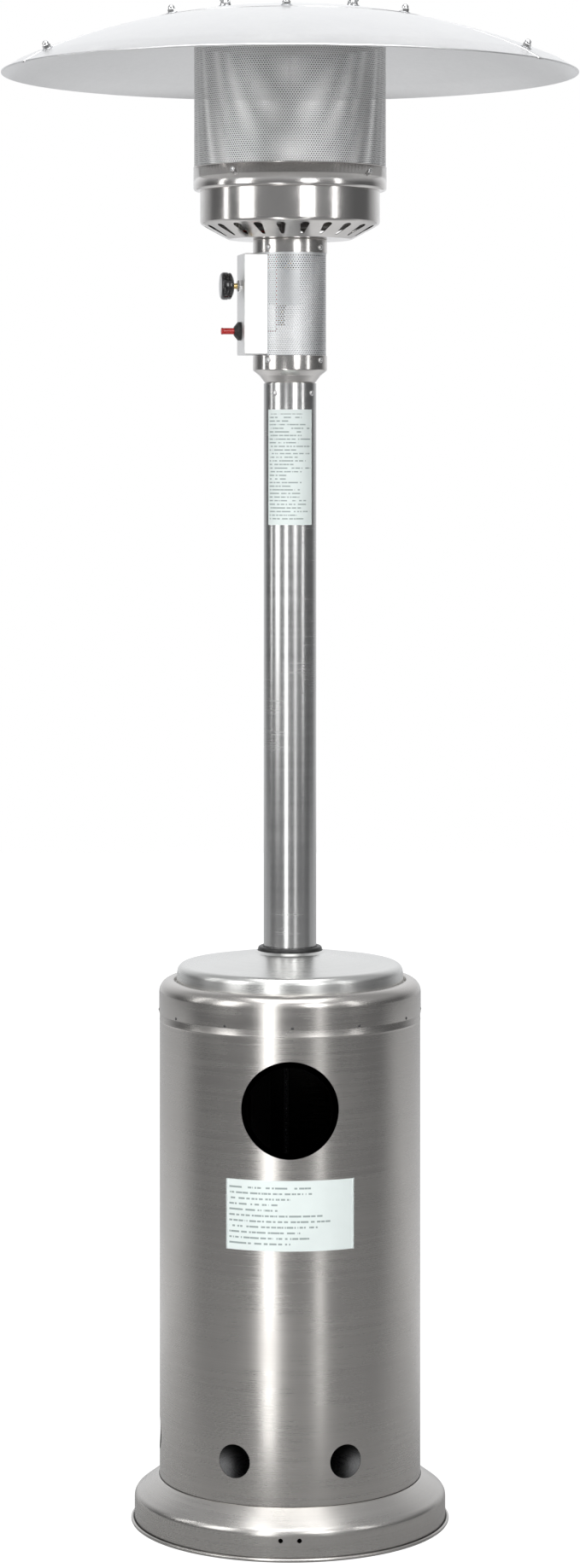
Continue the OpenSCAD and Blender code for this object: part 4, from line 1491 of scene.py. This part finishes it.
@dataclass
class TankHousing:
    """The lift-up housing: shell, cap, lid, collar ring, trim, rivets, seam and label."""

    shop: Workshop
    thickness: float = 0.8
    hole_r: float = 59.8
    trim_w: float = 8.5
    trim_lip: float = 2.2
    hole_drop: float = 125.9
    vent_r: float = 23.7
    vent_rise: float = 59.9
    vent_az: tuple[float, ...] = (-86.6, -24.6, 24.6, 96.0, 145.0, -145.0)
    bead_drop: float = 24.0
    rivet_count: int = 12
    rivet_az: float = 1.0
    weld_pitch: float = 5.3
    seam_az: float = 181.75
    seam_half: float = 1.6
    cap_corner: float = 18.0
    cap_land_w: float = 20.8
    cap_seat_drop: float = 6.7
    cap_flange_w: float = 16.5
    lid_wall_h: float = 25.7
    lid_cone_h: float = 19.0
    ring_flange: float = 7.0
    ring_wall: float = 7.8
    label_half: float = 28.4

    def __post_init__(self) -> None:
        """Reads the housing's places from the frame."""
        low, high = node_box("tank_shell")
        self.shell_r = high.x
        self.low_z, self.top_z = low.z, high.z
        self.hole_z = self.top_z - self.hole_drop

    def build_shell(self) -> None:
        """Builds the rolled shell with its access hole, its vents and a faint swaged bead."""
        r, low = self.shell_r, self.low_z
        holes = [hole_on_shell(self.hole_r + 3.0, r, 0.0, self.hole_z - low, 64)]
        vent_v = self.vent_rise - 0.3
        turns = [az if az <= 150 else az - 360 for az in self.vent_az]
        holes += [hole_on_shell(self.vent_r, r, az, vent_v, 40) for az in turns]
        bead = self.top_z - self.bead_drop
        draft = Draft()
        pierced_sheet(
            draft,
            [(r, low), (r, bead - 1.6), (r + 0.3, bead - 0.8), (r + 0.3, bead + 0.8),
             (r, bead + 1.6), (r, self.top_z)],
            self.thickness, 0, holes, 144, 22.0,
        )
        self.shop.mount(draft.build("shell"), Body.HOUSING, "housing_steel", "tank_shell")

    def build_seam(self) -> None:
        """Builds the strip behind the rear joint and its row of weld nuggets."""
        low, high = node_box("shell_seam")
        draft = Draft()
        inner = self.shell_r - 2 * self.thickness
        outline = [(inner, low.z), (inner + self.thickness, low.z),
                   (inner + self.thickness, high.z), (inner, high.z)]
        lathe(draft, outline, segments=720,
              arc=(self.seam_az - self.seam_half, self.seam_az + self.seam_half))
        self.shop.mount(draft.build("rear_seam"), Body.HOUSING, "seam_steel", "shell_seam")
        nugget = [(1.3, 0.0), (1.0, 0.35), (0.0, 0.5)]
        welds = Draft()
        for k in range(int((high.z - low.z) / self.weld_pitch)):
            z = low.z + self.weld_pitch * (k + 0.5)
            place = radial_place(self.seam_az, z, inner) @ Matrix.Rotation(math.pi, 4, "X")
            turned(welds, nugget, place, 8, 70.0)
        self.shop.mount(welds.build("seam_welds"), Body.HOUSING, "weld_bright")

    def build_cap(self) -> None:
        """Builds the cap that laps over the shell's top, and its rivets."""
        low, high = node_box("housing_cap")
        r = high.x
        land = r - self.cap_land_w
        seat = land - 2.5
        seat_z = high.z - self.cap_seat_drop
        path = [(r, low.z), (r, high.z, self.cap_corner), (land, high.z, 3.0), (seat, seat_z, 2.0),
                (seat - self.cap_flange_w, seat_z)]
        draft = Draft()
        lathe(draft, sheet_outline(path, self.thickness), segments=144)
        self.shop.mount(draft.build("cap"), Body.HOUSING, "cap_steel", "housing_cap")
        rivets = Draft()
        for k in range(self.rivet_count):
            place = radial_place(self.rivet_az + 360 / self.rivet_count * k, low.z + 2.9, r)
            turned(rivets, [(2.1, -0.6), (2.1, 0.15), (1.7, 0.6), (0.9, 0.88), (0.0, 0.9)],
                   place, 16, 70.0)
        self.shop.mount(rivets.build("rivets"), Body.HOUSING, "rivet_dark", "cap_rivets")

    def build_lid(self) -> None:
        """Builds the conical lid and the black ring round the post."""
        low, high = node_box("housing_lid")
        ring_low, ring_high = node_box("collar_ring")
        neck_in = ring_high.x - self.ring_flange + 0.3
        shoulder = low.z + self.lid_wall_h
        neck = shoulder + self.lid_cone_h
        path = [(high.x, low.z), (high.x, low.z + 3.0, 2.0), (high.x - 2.0, shoulder + 1.5, 12.0),
                (neck_in + 6.0, neck, 4.0), (neck_in + self.thickness, neck + 3.0)]
        draft = Draft()
        lathe(draft, sheet_outline(path, self.thickness), segments=144)
        self.shop.mount(draft.build("lid"), Body.HOUSING, "lid_steel", "housing_lid")
        flange, out = ring_high.x, ring_high.x - self.ring_flange
        inner = out - self.ring_wall
        ring = rounded(
            [(inner, ring_low.z), (flange, ring_low.z), (flange, ring_low.z + 3.0),
             (out, ring_low.z + 3.0), (out, ring_high.z, 3.6), (inner, ring_high.z, 3.6),
             (inner, ring_low.z + 1.0)]
        )
        collar = Draft()
        lathe(collar, ring, segments=96)
        self.shop.mount(collar.build("post_ring"), Body.COLLAR, "black_plastic", "collar_ring")

    def build_trim(self) -> None:
        """Builds the rubber trim that grips the edge of the access hole."""
        back = -(self.thickness + self.trim_lip)
        inner, outer = self.hole_r, self.hole_r + self.trim_w
        profile = rounded(
            [(inner, back + 1.0), (inner + 1.0, back), (outer - 1.0, back), (outer, back + 1.0),
             (outer, self.trim_lip, 2.0), (inner, self.trim_lip, 2.4), (inner, back + 1.5)]
        )
        normals = corner_normals(profile, True)
        draft = Draft()
        steps = 96

        def place(p: Point2, n: Vector, turn: float) -> tuple[Vector, Vector]:
            """Wraps a profile point and its normal onto the shell.

            Args:
                p: The point as distances from the hole's axis and from the shell's face.
                n: The profile's normal there.
                turn: The angle round the hole in radians.

            Returns:
                The point in metres and its normal.
            """
            x, z = p[0] * math.cos(turn), p[0] * math.sin(turn)
            reach = self.shell_r + p[1]
            y = -math.sqrt(reach * reach - x * x)
            out = Vector((x, y, 0.0)) / reach
            side = Vector((math.cos(turn), 0.0, math.sin(turn)))
            return Vector((x, y, z + self.hole_z)) * MM, (n.x * side + n.y * out).normalized()

        for i, (n0, n1) in enumerate(normals):
            p, q = profile[i], profile[(i + 1) % len(profile)]
            for k in range(steps):
                a, b = math.tau * k / steps, math.tau * (k + 1) / steps
                corners = [place(p, n0, a), place(p, n0, b), place(q, n1, b), place(q, n1, a)]
                corners.reverse()
                draft.face([c for c, _ in corners], [n for _, n in corners])
        self.shop.mount(draft.build("hole_edging"), Body.HOUSING, "trim_rubber", "hole_trim")

    def build_label(self) -> None:
        """Builds the printed film under the access hole."""
        low, high = node_box("rating_label")
        half = self.label_half
        r = self.shell_r
        draft = Draft()
        lathe(draft, [(r + 0.02, low.z), (r + 0.2, low.z), (r + 0.2, high.z), (r + 0.02, high.z)],
              arc=(-half, half), segments=288)
        self.shop.mount(draft.build("data_film"), Body.HOUSING, "data_label", "rating_label")

    def build(self) -> None:
        """Builds the whole housing."""
        self.build_shell()
        self.build_seam()
        self.build_cap()
        self.build_lid()
        self.build_trim()
        self.build_label()


@dataclass
class ScrewRing:
    """A ring of pan-head screws round a sleeve."""

    shop: Workshop
    name: str
    node: str
    first_az: float = -35.5
    head_r: float = 4.0
    head_h: float = 2.2

    def build(self) -> None:
        """Builds the screws where the frame has them."""
        low, high = node_box(self.node)
        z = (low.z + high.z) / 2
        reach = self.outer_radius() - self.head_h
        draft = Draft()
        r, h = self.head_r, self.head_h
        profile = [(r, -0.4), (r, 0.35 * h), (0.82 * r, 0.82 * h), (0.5 * r, h),
                   (0.36 * r, 0.98 * h), (0.2 * r, 0.55 * h), (0.0, 0.5 * h)]
        for k in range(4):
            turned(draft, profile, radial_place(self.first_az + 90 * k, z, reach), 24, 45.0)
        self.shop.mount(draft.build(self.name), Body.STAND, "screw_steel", self.node)

    def outer_radius(self) -> float:
        """Returns the distance from the axis to the screws' outermost points."""
        mesh = self.shop.frame["nodes"][self.node].data
        return max(math.hypot(v.co.x, v.co.y) for v in mesh.vertices) / MM


@dataclass
class PostGroup:
    """The post with its instruction film."""

    shop: Workshop
    thickness: float = 1.5
    label_half: float = 54.5

    def build(self) -> None:
        """Builds the post, its film and its screws."""
        low, high = node_box("post")
        draft = Draft()
        lathe(draft, sheet_outline([(high.x, low.z), (high.x, high.z)], self.thickness),
              segments=96)
        self.shop.mount(draft.build("post_tube"), Body.STAND, "post_steel", "post")
        film_low, film_high = node_box("post_label")
        film = Draft()
        r = high.x
        lathe(film, [(r + 0.02, film_low.z), (r + 0.2, film_low.z), (r + 0.2, film_high.z),
                     (r + 0.02, film_high.z)],
              arc=(-self.label_half, self.label_half), segments=192)
        self.shop.mount(film.build("guide_film"), Body.STAND, "guide_label", "post_label")
        ScrewRing(self.shop, "sleeve_screws", "post_screws").build()


@dataclass
class ControlHousing:
    """The funnel, the perforated cage, the upper collar and the control panel."""

    shop: Workshop
    sheet: float = 1.2
    panel_az: float = -80.5
    panel_w: float = 70.0
    panel_d: float = 72.0
    panel_t: float = 1.0
    panel_corner: float = 2.0
    band_h: float = 21.4
    flare_w: float = 6.0

    def build_funnel(self) -> None:
        """Builds the funnel between post and cage, and the collar over the cage."""
        low, high = node_box("neck_funnel")
        r = high.x
        post_r = node_box("post")[1].x
        post_top = node_box("post")[1].z
        band_z = high.z - self.band_h
        sleeve_r = post_r - 1.5 - 0.3
        path = [(sleeve_r, low.z), (sleeve_r, post_top + 0.6, 1.0),
                (post_r + self.flare_w, band_z - 7.0, 3.0), (r - 4.6, band_z - 3.0),
                (r, band_z + 0.6, 3.0), (r, high.z)]
        funnel = Draft()
        lathe(funnel, sheet_outline(path, self.sheet), segments=96)
        self.shop.mount(funnel.build("funnel"), Body.STAND, "bright_steel", "neck_funnel")
        low, high = node_box("upper_collar")
        collar = Draft()
        path = [(r, low.z), (r, high.z, 1.5), (r - 7.0, high.z)]
        lathe(collar, sheet_outline(path, self.sheet), segments=96)
        self.shop.mount(collar.build("head_collar"), Body.STAND, "bright_steel", "upper_collar")
        ScrewRing(self.shop, "cage_lower_screws", "neck_lower_screws").build()
        ScrewRing(self.shop, "cage_upper_screws", "neck_upper_screws").build()

    def build_cage(self) -> None:
        """Builds the perforated cage round the valve, open behind the panel."""
        low, high = node_box("control_cage")
        panel_low, panel_high = node_box("control_panel")
        r = max(high.x, high.y)
        half = math.degrees(math.asin(self.panel_w / 2 / r))
        arc = (self.panel_az + half, self.panel_az + 360.0 - half)
        draft = Draft()
        perforated(draft, r - 0.4, panel_low.z - 1.2, panel_high.z + 1.6, arc)
        for edge in (low.z + 6.0, panel_high.z - 0.6):
            outline = [(r - 0.8, edge), (r, edge), (r, edge + 3.0), (r - 0.8, edge + 3.0)]
            lathe(draft, outline, segments=96)
        for az in (arc[0], arc[1] - 1.6):
            outline = [(r - 0.8, panel_low.z), (r, panel_low.z), (r, panel_high.z),
                       (r - 0.8, panel_high.z)]
            lathe(draft, outline, arc=(az, az + 1.6), segments=900)
        self.shop.mount(draft.build("cage"), Body.STAND, "cage_steel", "control_cage")

    def build_panel(self) -> None:
        """Builds the folded control panel."""
        low, high = node_box("control_panel")
        height = high.z - low.z
        cage_in = node_box("control_cage")[1].x - 0.8
        back = math.sqrt(cage_in**2 - (self.panel_w / 2) ** 2)
        place = radial_place(self.panel_az, (low.z + high.z) / 2, 0.0)
        w, h, t = self.panel_w, height, self.panel_t
        stations = [(0.0, back), (0.0, self.panel_d - 1.2), (0.15, self.panel_d - 0.6),
                    (0.45, self.panel_d - 0.15), (1.1, self.panel_d)]
        outer = [(rounded_rect(w - 2 * s, h - 2 * s, self.panel_corner), d)
                 for s, d in stations]
        inner = [(rounded_rect(w - 2 * t, h - 2 * t, self.panel_corner), d)
                 for d in (self.panel_d - t, back)]
        draft = Draft()
        loft(draft, outer + inner, place, outer[-1])
        self.shop.mount(draft.build("panel"), Body.STAND, "panel_steel", "control_panel")

    def build(self) -> None:
        """Builds the whole control housing."""
        self.build_funnel()
        self.build_cage()
        self.build_panel()


@dataclass
class Controls:
    """The knob on its nut, and the igniter in its bezel."""

    shop: Workshop
    panel_az: float = -80.5
    panel_d: float = 72.0
    knob_d: float = 83.5
    nut_r: float = 9.9
    nut_h: float = 4.0

    def build_knob(self) -> None:
        """Builds the glossy control knob and its pointer."""
        low, high = node_box("control_knob")
        z = (low.z + high.z) / 2
        place = radial_place(self.panel_az, z, self.knob_d)
        draft = Draft()
        profile = rounded(
            [(4.2, 0.4), (13.0, 0.0, 1.5), (19.3, 3.4, 1.6), (19.3, 6.6, 0.5), (18.1, 7.2, 0.4),
             (20.0, 8.2, 0.8), (20.0, 18.0, 4.5), (0.0, 18.0)], 5)
        turned(draft, profile, place, 72, 30.0)
        knob = draft.build("knob_cap")
        self.shop.mount(knob, Body.KNOB, "knob_gloss", "control_knob")
        mark = Draft()
        prism(mark, rounded_rect(1.6, 9.0, 0.7), 17.6, 18.0,
              place @ Matrix.Translation((0.0, 10.5, 0.0)))
        self.shop.mount(mark.build("knob_pointer"), Body.KNOB, "pointer_white")

    def build_nut(self) -> None:
        """Builds the hexagonal nut that holds the valve in the panel."""
        low, high = node_box("control_knob")
        place = radial_place(self.panel_az, (low.z + high.z) / 2, self.panel_d)
        draft = Draft()
        prism(draft, circle_points(self.nut_r, 6), 0.0, self.nut_h, place, 0.7)
        self.shop.mount(draft.build("panel_nut"), Body.STAND, "nut_chrome", "knob_nut")

    def build_igniter(self) -> None:
        """Builds the igniter's bezel and its button."""
        low, high = node_box("igniter_button")
        z = (low.z + high.z) / 2
        place = radial_place(self.panel_az, z, self.panel_d)
        bezel = Draft()
        profile = rounded([(13.4, 0.0), (13.4, 4.2, 1.0), (6.4, 10.0, 0.8), (5.35, 10.0, 0.3),
                           (5.35, 4.0)], 5)
        turned(bezel, profile, place, 48, 30.0)
        self.shop.mount(bezel.build("bezel"), Body.STAND, "black_plastic", "igniter_bezel")
        button = Draft()
        profile = rounded([(4.6, -11.0), (4.6, 25.5, 2.0), (4.95, 26.6, 0.4), (4.95, 28.5, 1.0),
                           (3.0, 28.5, 0.8), (0.0, 28.0)], 5)
        turned(button, profile, place, 40, 40.0)
        self.shop.mount(button.build("button"), Body.IGNITER, "button_red", "igniter_button")

    def build(self) -> None:
        """Builds all the controls."""
        self.build_knob()
        self.build_nut()
        self.build_igniter()


@dataclass
class Emitter:
    """The slotted burner pan, the ring over it and the perforated emitter screen."""

    shop: Workshop
    sheet: float = 0.8
    slots: int = 22
    slot_az: float = -6.1
    slot_l: float = 32.0
    slot_w: float = 12.0
    cone_w: float = 40.4
    cone_h: float = 22.4
    hole_r: float = 16.0

    def slot(self, az: float, radius: float, middle: float) -> list[Point2]:
        """Unrolls one air slot, wide at its upper end.

        Args:
            az: The slot's azimuth in degrees.
            radius: The radius at which u is measured.
            middle: Distance along the cone of the slot's middle.

        Returns:
            The slot's outline, counter-clockwise.
        """
        centre = radius * math.radians((az + 180) % 360 - 180)
        top, low = self.slot_w / 2, self.slot_w / 4
        reach = (self.slot_l - top - low) / 2
        arc = [(top * math.cos(a), reach + top * math.sin(a))
               for a in (math.pi * k / 10 for k in range(11))]
        arc += [(low * math.cos(a), -reach + low * math.sin(a))
                for a in (math.pi * (1 + k / 8) for k in range(9))]
        return [(centre + u, middle + v) for u, v in arc]

    def build_pan(self) -> None:
        """Builds the burner pan with its ring of air slots."""
        low, high = node_box("burner_pan")
        r = high.x
        flat_r = r - self.cone_w
        path = [(self.hole_r, low.z), (flat_r, low.z, 5.0), (r, low.z + self.cone_h, 6.0),
                (r, high.z)]
        outer = rounded(path)
        step = max(range(8, len(outer) - 9),
                   key=lambda k: (Vector(outer[k + 1]) - Vector(outer[k])).length)
        a, b = outer[step], outer[step + 1]
        radius = (a[0] + b[0]) / 2
        length = (Vector(b) - Vector(a)).length
        span = 360 / self.slots
        holes = [self.slot(self.slot_az + span * k, radius, length / 2)
                 for k in range(self.slots)]
        draft = Draft()
        pierced_sheet(draft, path, self.sheet, step, holes, 132, 9.0)
        self.shop.mount(draft.build("slotted_pan"), Body.STAND, "bright_steel", "burner_pan")

    def build_ring(self) -> None:
        """Builds the ring that holds the screen over the pan."""
        low, high = node_box("emitter_ring")
        pan_r = node_box("burner_pan")[1].x
        path = [(pan_r - self.sheet, low.z), (high.x, low.z, 4.5), (high.x, high.z)]
        draft = Draft()
        lathe(draft, sheet_outline(path, self.sheet), segments=132)
        bead = [(high.x - 0.8, high.z - 1.2), (high.x, high.z - 1.2), (high.x + 0.35, high.z - 0.6),
                (high.x, high.z), (high.x - 0.8, high.z)]
        lathe(draft, bead, segments=132)
        self.shop.mount(draft.build("screen_ring"), Body.STAND, "bright_steel", "emitter_ring")
        ScrewRing(self.shop, "ring_screws", "emitter_screws").build()

    def build_screen(self) -> None:
        """Builds the perforated emitter screen."""
        low, high = node_box("emitter_screen")
        ring_top = node_box("emitter_ring")[1].z
        r = high.x
        draft = Draft()
        perforated(draft, r - self.sheet / 2, ring_top - 3.0, high.z - 2.0)
        outline = [(r - self.sheet, high.z - 3.0), (r, high.z - 3.0), (r, high.z),
                   (r - self.sheet, high.z)]
        lathe(draft, outline, segments=132)
        outline = [(r - self.sheet, low.z), (r, low.z), (r, ring_top - 2.0),
                   (r - self.sheet, ring_top - 2.0)]
        lathe(draft, outline, segments=132)
        self.shop.mount(draft.build("screen"), Body.STAND, "emitter_steel", "emitter_screen")

    def build(self) -> None:
        """Builds the whole emitter."""
        self.build_pan()
        self.build_ring()
        self.build_screen()


@dataclass
class Reflector:
    """The three lapped panels, the central disc and the nuts and washers that hold them."""

    shop: Workshop
    sheet: float = 0.8
    dome_r: float = 989.0
    gap: float = 0.02
    lip_w: float = 24.5
    lip_drop: float = 14.0
    hem_r: float = 1.6
    disc_r: float = 200.0
    overlap: float = 20.0
    disc_edge: float = 10.0
    lap_edge: float = 7.0
    first_seam: float = -61.5
    lap_deg: float = 4.0
    washer_r: float = 8.0
    washer_t: float = 1.0
    nut_r: float = 5.77
    nut_h: float = 5.0
    stud_pitch: float = 105.0

    def __post_init__(self) -> None:
        """Reads the dome's place from the frame."""
        high = node_box("reflector_disc")[1]
        self.top_z = high.z - 2 * self.sheet - self.gap
        self.centre_z = self.top_z - self.dome_r
        self.rim_r = max(node_box(f"reflector_panel_{k}")[1].x for k in (1, 2, 3))

    def dome(self, r0: float, r1: float, offset: float, steps: int) -> list[Point2]:
        """Returns points on the dome between two radii.

        Args:
            r0: The first radius.
            r1: The last radius.
            offset: Height above the dome's inner face.
            steps: Straight steps between them.

        Returns:
            The points.
        """
        points = []
        for k in range(steps + 1):
            angle = math.asin((r0 + (r1 - r0) * k / steps) / self.dome_r)
            reach = self.dome_r + offset
            points.append((reach * math.sin(angle), self.centre_z + reach * math.cos(angle)))
        return points

    def panel_outline(self) -> list[Point2]:
        """Returns a panel's section: dome, turned-down lip and rolled hem.

        Returns:
            The section's points, closed.
        """
        lip_r = self.rim_r - self.lip_w
        under = self.dome(self.disc_r - self.overlap, lip_r, 0.0, 28)
        over = self.dome(self.disc_r - self.overlap, lip_r, self.sheet, 28)
        reach = self.lip_w - self.hem_r
        bottom = Vector(under[-1]) + Vector((reach, -self.lip_drop))
        slope = math.atan2(-self.lip_drop, reach)
        hem = [
            tuple(bottom + self.hem_r * Vector((math.cos(a), math.sin(a))))
            for a in (slope - 2.2 + 4.4 * k / 12 for k in range(13))
        ]
        return under + hem + list(reversed(over))

    def build_panels(self) -> None:
        """Builds the three panels, each with a flange under the next one's edge."""
        lip_r = self.rim_r - self.lip_w
        flange_reach = self.lip_w - 4 * self.hem_r
        low = -self.sheet - self.gap
        under = self.dome(self.disc_r - self.overlap, lip_r, low, 28)
        over = self.dome(self.disc_r - self.overlap, lip_r, -self.gap, 28)
        tip = Vector((flange_reach, -self.lip_drop * flange_reach / self.lip_w))
        flange = (under + [tuple(Vector(under[-1]) + tip), tuple(Vector(over[-1]) + tip)]
                  + list(reversed(over)))
        for k in range(3):
            start = self.first_seam + 120 * k - self.lap_deg / 2
            draft = Draft()
            lathe(draft, self.panel_outline(), arc=(start, start + 119.9), segments=216)
            lathe(draft, flange, arc=(start + 119.5, start + 120 + self.lap_deg), segments=216)
            self.shop.mount(draft.build(f"panel_{k + 1}"), Body.STAND, "reflector_alu",
                            f"reflector_panel_{k + 1}")

    def build_disc(self) -> None:
        """Builds the central disc."""
        under = self.dome(0.0, self.disc_r, self.sheet + self.gap, 16)
        over = self.dome(0.0, self.disc_r, 2 * self.sheet + self.gap, 16)
        draft = Draft()
        lathe(draft, under + list(reversed(over)), closed=False, segments=144)
        self.shop.mount(draft.build("top_disc"), Body.STAND, "reflector_alu", "reflector_disc")

    def seats(self) -> Iterable[tuple[float, float, float]]:
        """Lists where the bolts sit on the dome.

        Yields:
            Each bolt's azimuth, its distance from the axis and the sphere radius under its washer.
        """
        top = self.dome_r + 2 * self.sheet + self.gap
        for k in range(3):
            az = self.first_seam + 120 * k
            yield az, self.disc_r - self.disc_edge, top
            yield az + 60, self.disc_r - self.disc_edge, top
            yield az, self.rim_r - self.lip_w - self.lap_edge, self.dome_r + self.sheet

    def on_dome(self, az: float, r: float, reach: float) -> Matrix:
        """Returns a place on the dome whose Z is the outward normal, in millimetres.

        Args:
            az: The azimuth in degrees.
            r: The distance from the axis.
            reach: The radius of the sphere that it stands on.

        Returns:
            The place.
        """
        return (
            Matrix.Rotation(math.radians(az), 4, "Z")
            @ Matrix.Translation((0.0, 0.0, self.centre_z))
            @ Matrix.Rotation(math.asin(r / self.dome_r), 4, "X")
            @ Matrix.Translation((0.0, 0.0, reach))
        )

    def build_nuts(self) -> None:
        """Builds the cap nuts and their washers on top of the reflector."""
        washers, nuts = Draft(), Draft()
        dome = 0.82 * self.nut_r
        for az, r, over in self.seats():
            seat = self.on_dome(az, r, over + self.gap)
            turned(washers, rounded([(3.4, 0.0), (self.washer_r, 0.0, 0.3),
                                     (self.washer_r, self.washer_t, 0.3),
                                     (3.4, self.washer_t)], 3), seat, 32)
            on = seat @ Matrix.Translation((0.0, 0.0, self.washer_t))
            prism(nuts, circle_points(self.nut_r, 6), 0.0, self.nut_h, on, 0.5)
            cap = [(dome, self.nut_h - 0.4)] + [
                (dome * math.cos(a), self.nut_h + 1.6 + dome * math.sin(a))
                for a in (math.pi / 2 * k / 8 for k in range(9))
            ]
            turned(nuts, cap, on, 24, 60.0)
        self.shop.mount(washers.build("roof_washers"), Body.STAND, "zinc", "reflector_washers")
        self.shop.mount(nuts.build("roof_nuts"), Body.STAND, "nut_chrome", "reflector_cap_nuts")

    def build_wings(self) -> None:
        """Builds the wing nuts on the three studs."""
        low = node_box("stud_wing_nuts")[0]
        draft = Draft()
        for k in range(3):
            az = math.radians(self.first_seam + 120 * k)
            place = Matrix.Translation((self.stud_pitch * math.sin(az),
                                        -self.stud_pitch * math.cos(az), low.z))
            place = place @ Matrix.Rotation(az, 4, "Z")
            wing_nut(draft, 4.0, place)
        self.shop.mount(draft.build("wing_nuts"), Body.STAND, "nut_chrome", "stud_wing_nuts")

    def build(self) -> None:
        """Builds the whole reflector."""
        self.build_panels()
        self.build_disc()
        self.build_nuts()
        self.build_wings()


FINISHES = (
    # Painted shade: the base is darkened on faces turned to the axis and within 189.2 mm of it,
    # inside the housing and as a thin painted contact shadow round the shell's foot.
    BrushedMetal("base_steel", (0.52, 0.505, 0.485), 0.26, contrast=0.08, depth=0.000008,
                 inside=0.05, shade_core=0.1892),
    # Painted shade: the shell's inner face is darkened to 4 per cent of its colour.
    BrushedMetal("housing_steel", (0.52, 0.502, 0.480), 0.25, contrast=0.06, depth=0.000007,
                 inside=0.04),
    BrushedMetal("cap_steel", (0.52, 0.502, 0.480), 0.23, contrast=0.06, depth=0.000007),
    # Painted shade: the seam strip's face towards the axis is darkened.
    BrushedMetal("seam_steel", (0.60, 0.60, 0.60), 0.40, inside=0.12),
    PlatedMetal("weld_bright", (0.92, 0.92, 0.92), 0.34),
    BrushedMetal("lid_steel", (0.68, 0.68, 0.665), 0.26, contrast=0.06),
    BrushedMetal("post_steel", (0.60, 0.60, 0.595), 0.22, contrast=0.05, across=500.0,
                 depth=0.000008),
    PlatedMetal("bright_steel", (0.72, 0.70, 0.68), 0.16),
    # Painted shade: the cage's inner side is darkened.
    BrushedMetal("cage_steel", (0.76, 0.77, 0.78), 0.48, Grain.CLOUDY, across=220.0,
                 contrast=0.05, inside=0.06),
    BrushedMetal("panel_steel", (0.93, 0.93, 0.925), 0.45, Grain.CLOUDY, across=160.0,
                 contrast=0.06),
    # Painted shade: the screen's inner side is darkened.
    BrushedMetal("emitter_steel", (0.76, 0.76, 0.76), 0.56, Grain.CLOUDY, across=220.0,
                 contrast=0.05, inside=0.1),
    BrushedMetal("reflector_alu", (0.82, 0.82, 0.82), 0.36, Grain.CLOUDY, across=120.0,
                 contrast=0.03),
    BrushedMetal("burner_steel", (0.42, 0.40, 0.38), 0.38, Grain.CLOUDY, across=180.0),
    BrushedMetal("valve_body", (0.62, 0.63, 0.64), 0.42, Grain.CLOUDY, across=300.0),
    BrushedMetal("pilot_alu", (0.75, 0.75, 0.75), 0.30, Grain.CLOUDY, across=300.0),
    BrushedMetal("zinc", (0.72, 0.73, 0.75), 0.26, Grain.CLOUDY, across=260.0),
    PlatedMetal("nut_chrome", (0.80, 0.80, 0.80), 0.10),
    PlatedMetal("screw_steel", (0.70, 0.70, 0.70), 0.16),
    PlatedMetal("brass", (0.78, 0.58, 0.25), 0.22),
    PlatedMetal("copper", (0.78, 0.42, 0.26), 0.24),
    Moulding("leg_paint", (0.022, 0.022, 0.022), 0.42, 700.0),
    Moulding("black_plastic", (0.016, 0.016, 0.016), 0.36, 1100.0),
    Moulding("trim_rubber", (0.028, 0.028, 0.028), 0.38, 900.0),
    Moulding("rivet_dark", (0.05, 0.05, 0.05), 0.35, 1500.0),
    Moulding("knob_gloss", (0.010, 0.010, 0.011), 0.12, 500.0, 0.00001, 0.6),
    Moulding("pointer_white", (0.72, 0.72, 0.70), 0.35, 900.0),
    Moulding("button_red", (0.50, 0.015, 0.012), 0.25, 900.0, 0.00002, 0.3),
    Moulding("ceramic", (0.84, 0.82, 0.76), 0.18, 700.0, 0.00002),
    Moulding("lead_jacket", (0.34, 0.03, 0.02), 0.45, 900.0),
    PrintedFilm("data_label", "rating_label", 0.0078, 0.188, 0.088),
    PrintedFilm("guide_label", "post_label", 0.0052, 0.038, 0.033),
)


def main() -> None:
    """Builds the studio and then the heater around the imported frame."""
    logging.basicConfig(level=logging.INFO, format="%(name)s: %(message)s", stream=sys.stdout)
    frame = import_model()
    Studio().build()
    effects = Effects()
    finishes = {finish.name: finish.build(effects) for finish in FINISHES}
    shop = Workshop(frame, finishes)
    for part in frame["record"]["subparts"]:
        slot = part["material_slot"]
        shop.keep(part["node"], "data_label" if slot == "label" else slot)
    groups = (HeaterBase, TankHousing, PostGroup, ControlHousing, Controls, Emitter, Reflector)
    for group in groups:
        group(shop).build()


if __name__ == "__main__":
    main()
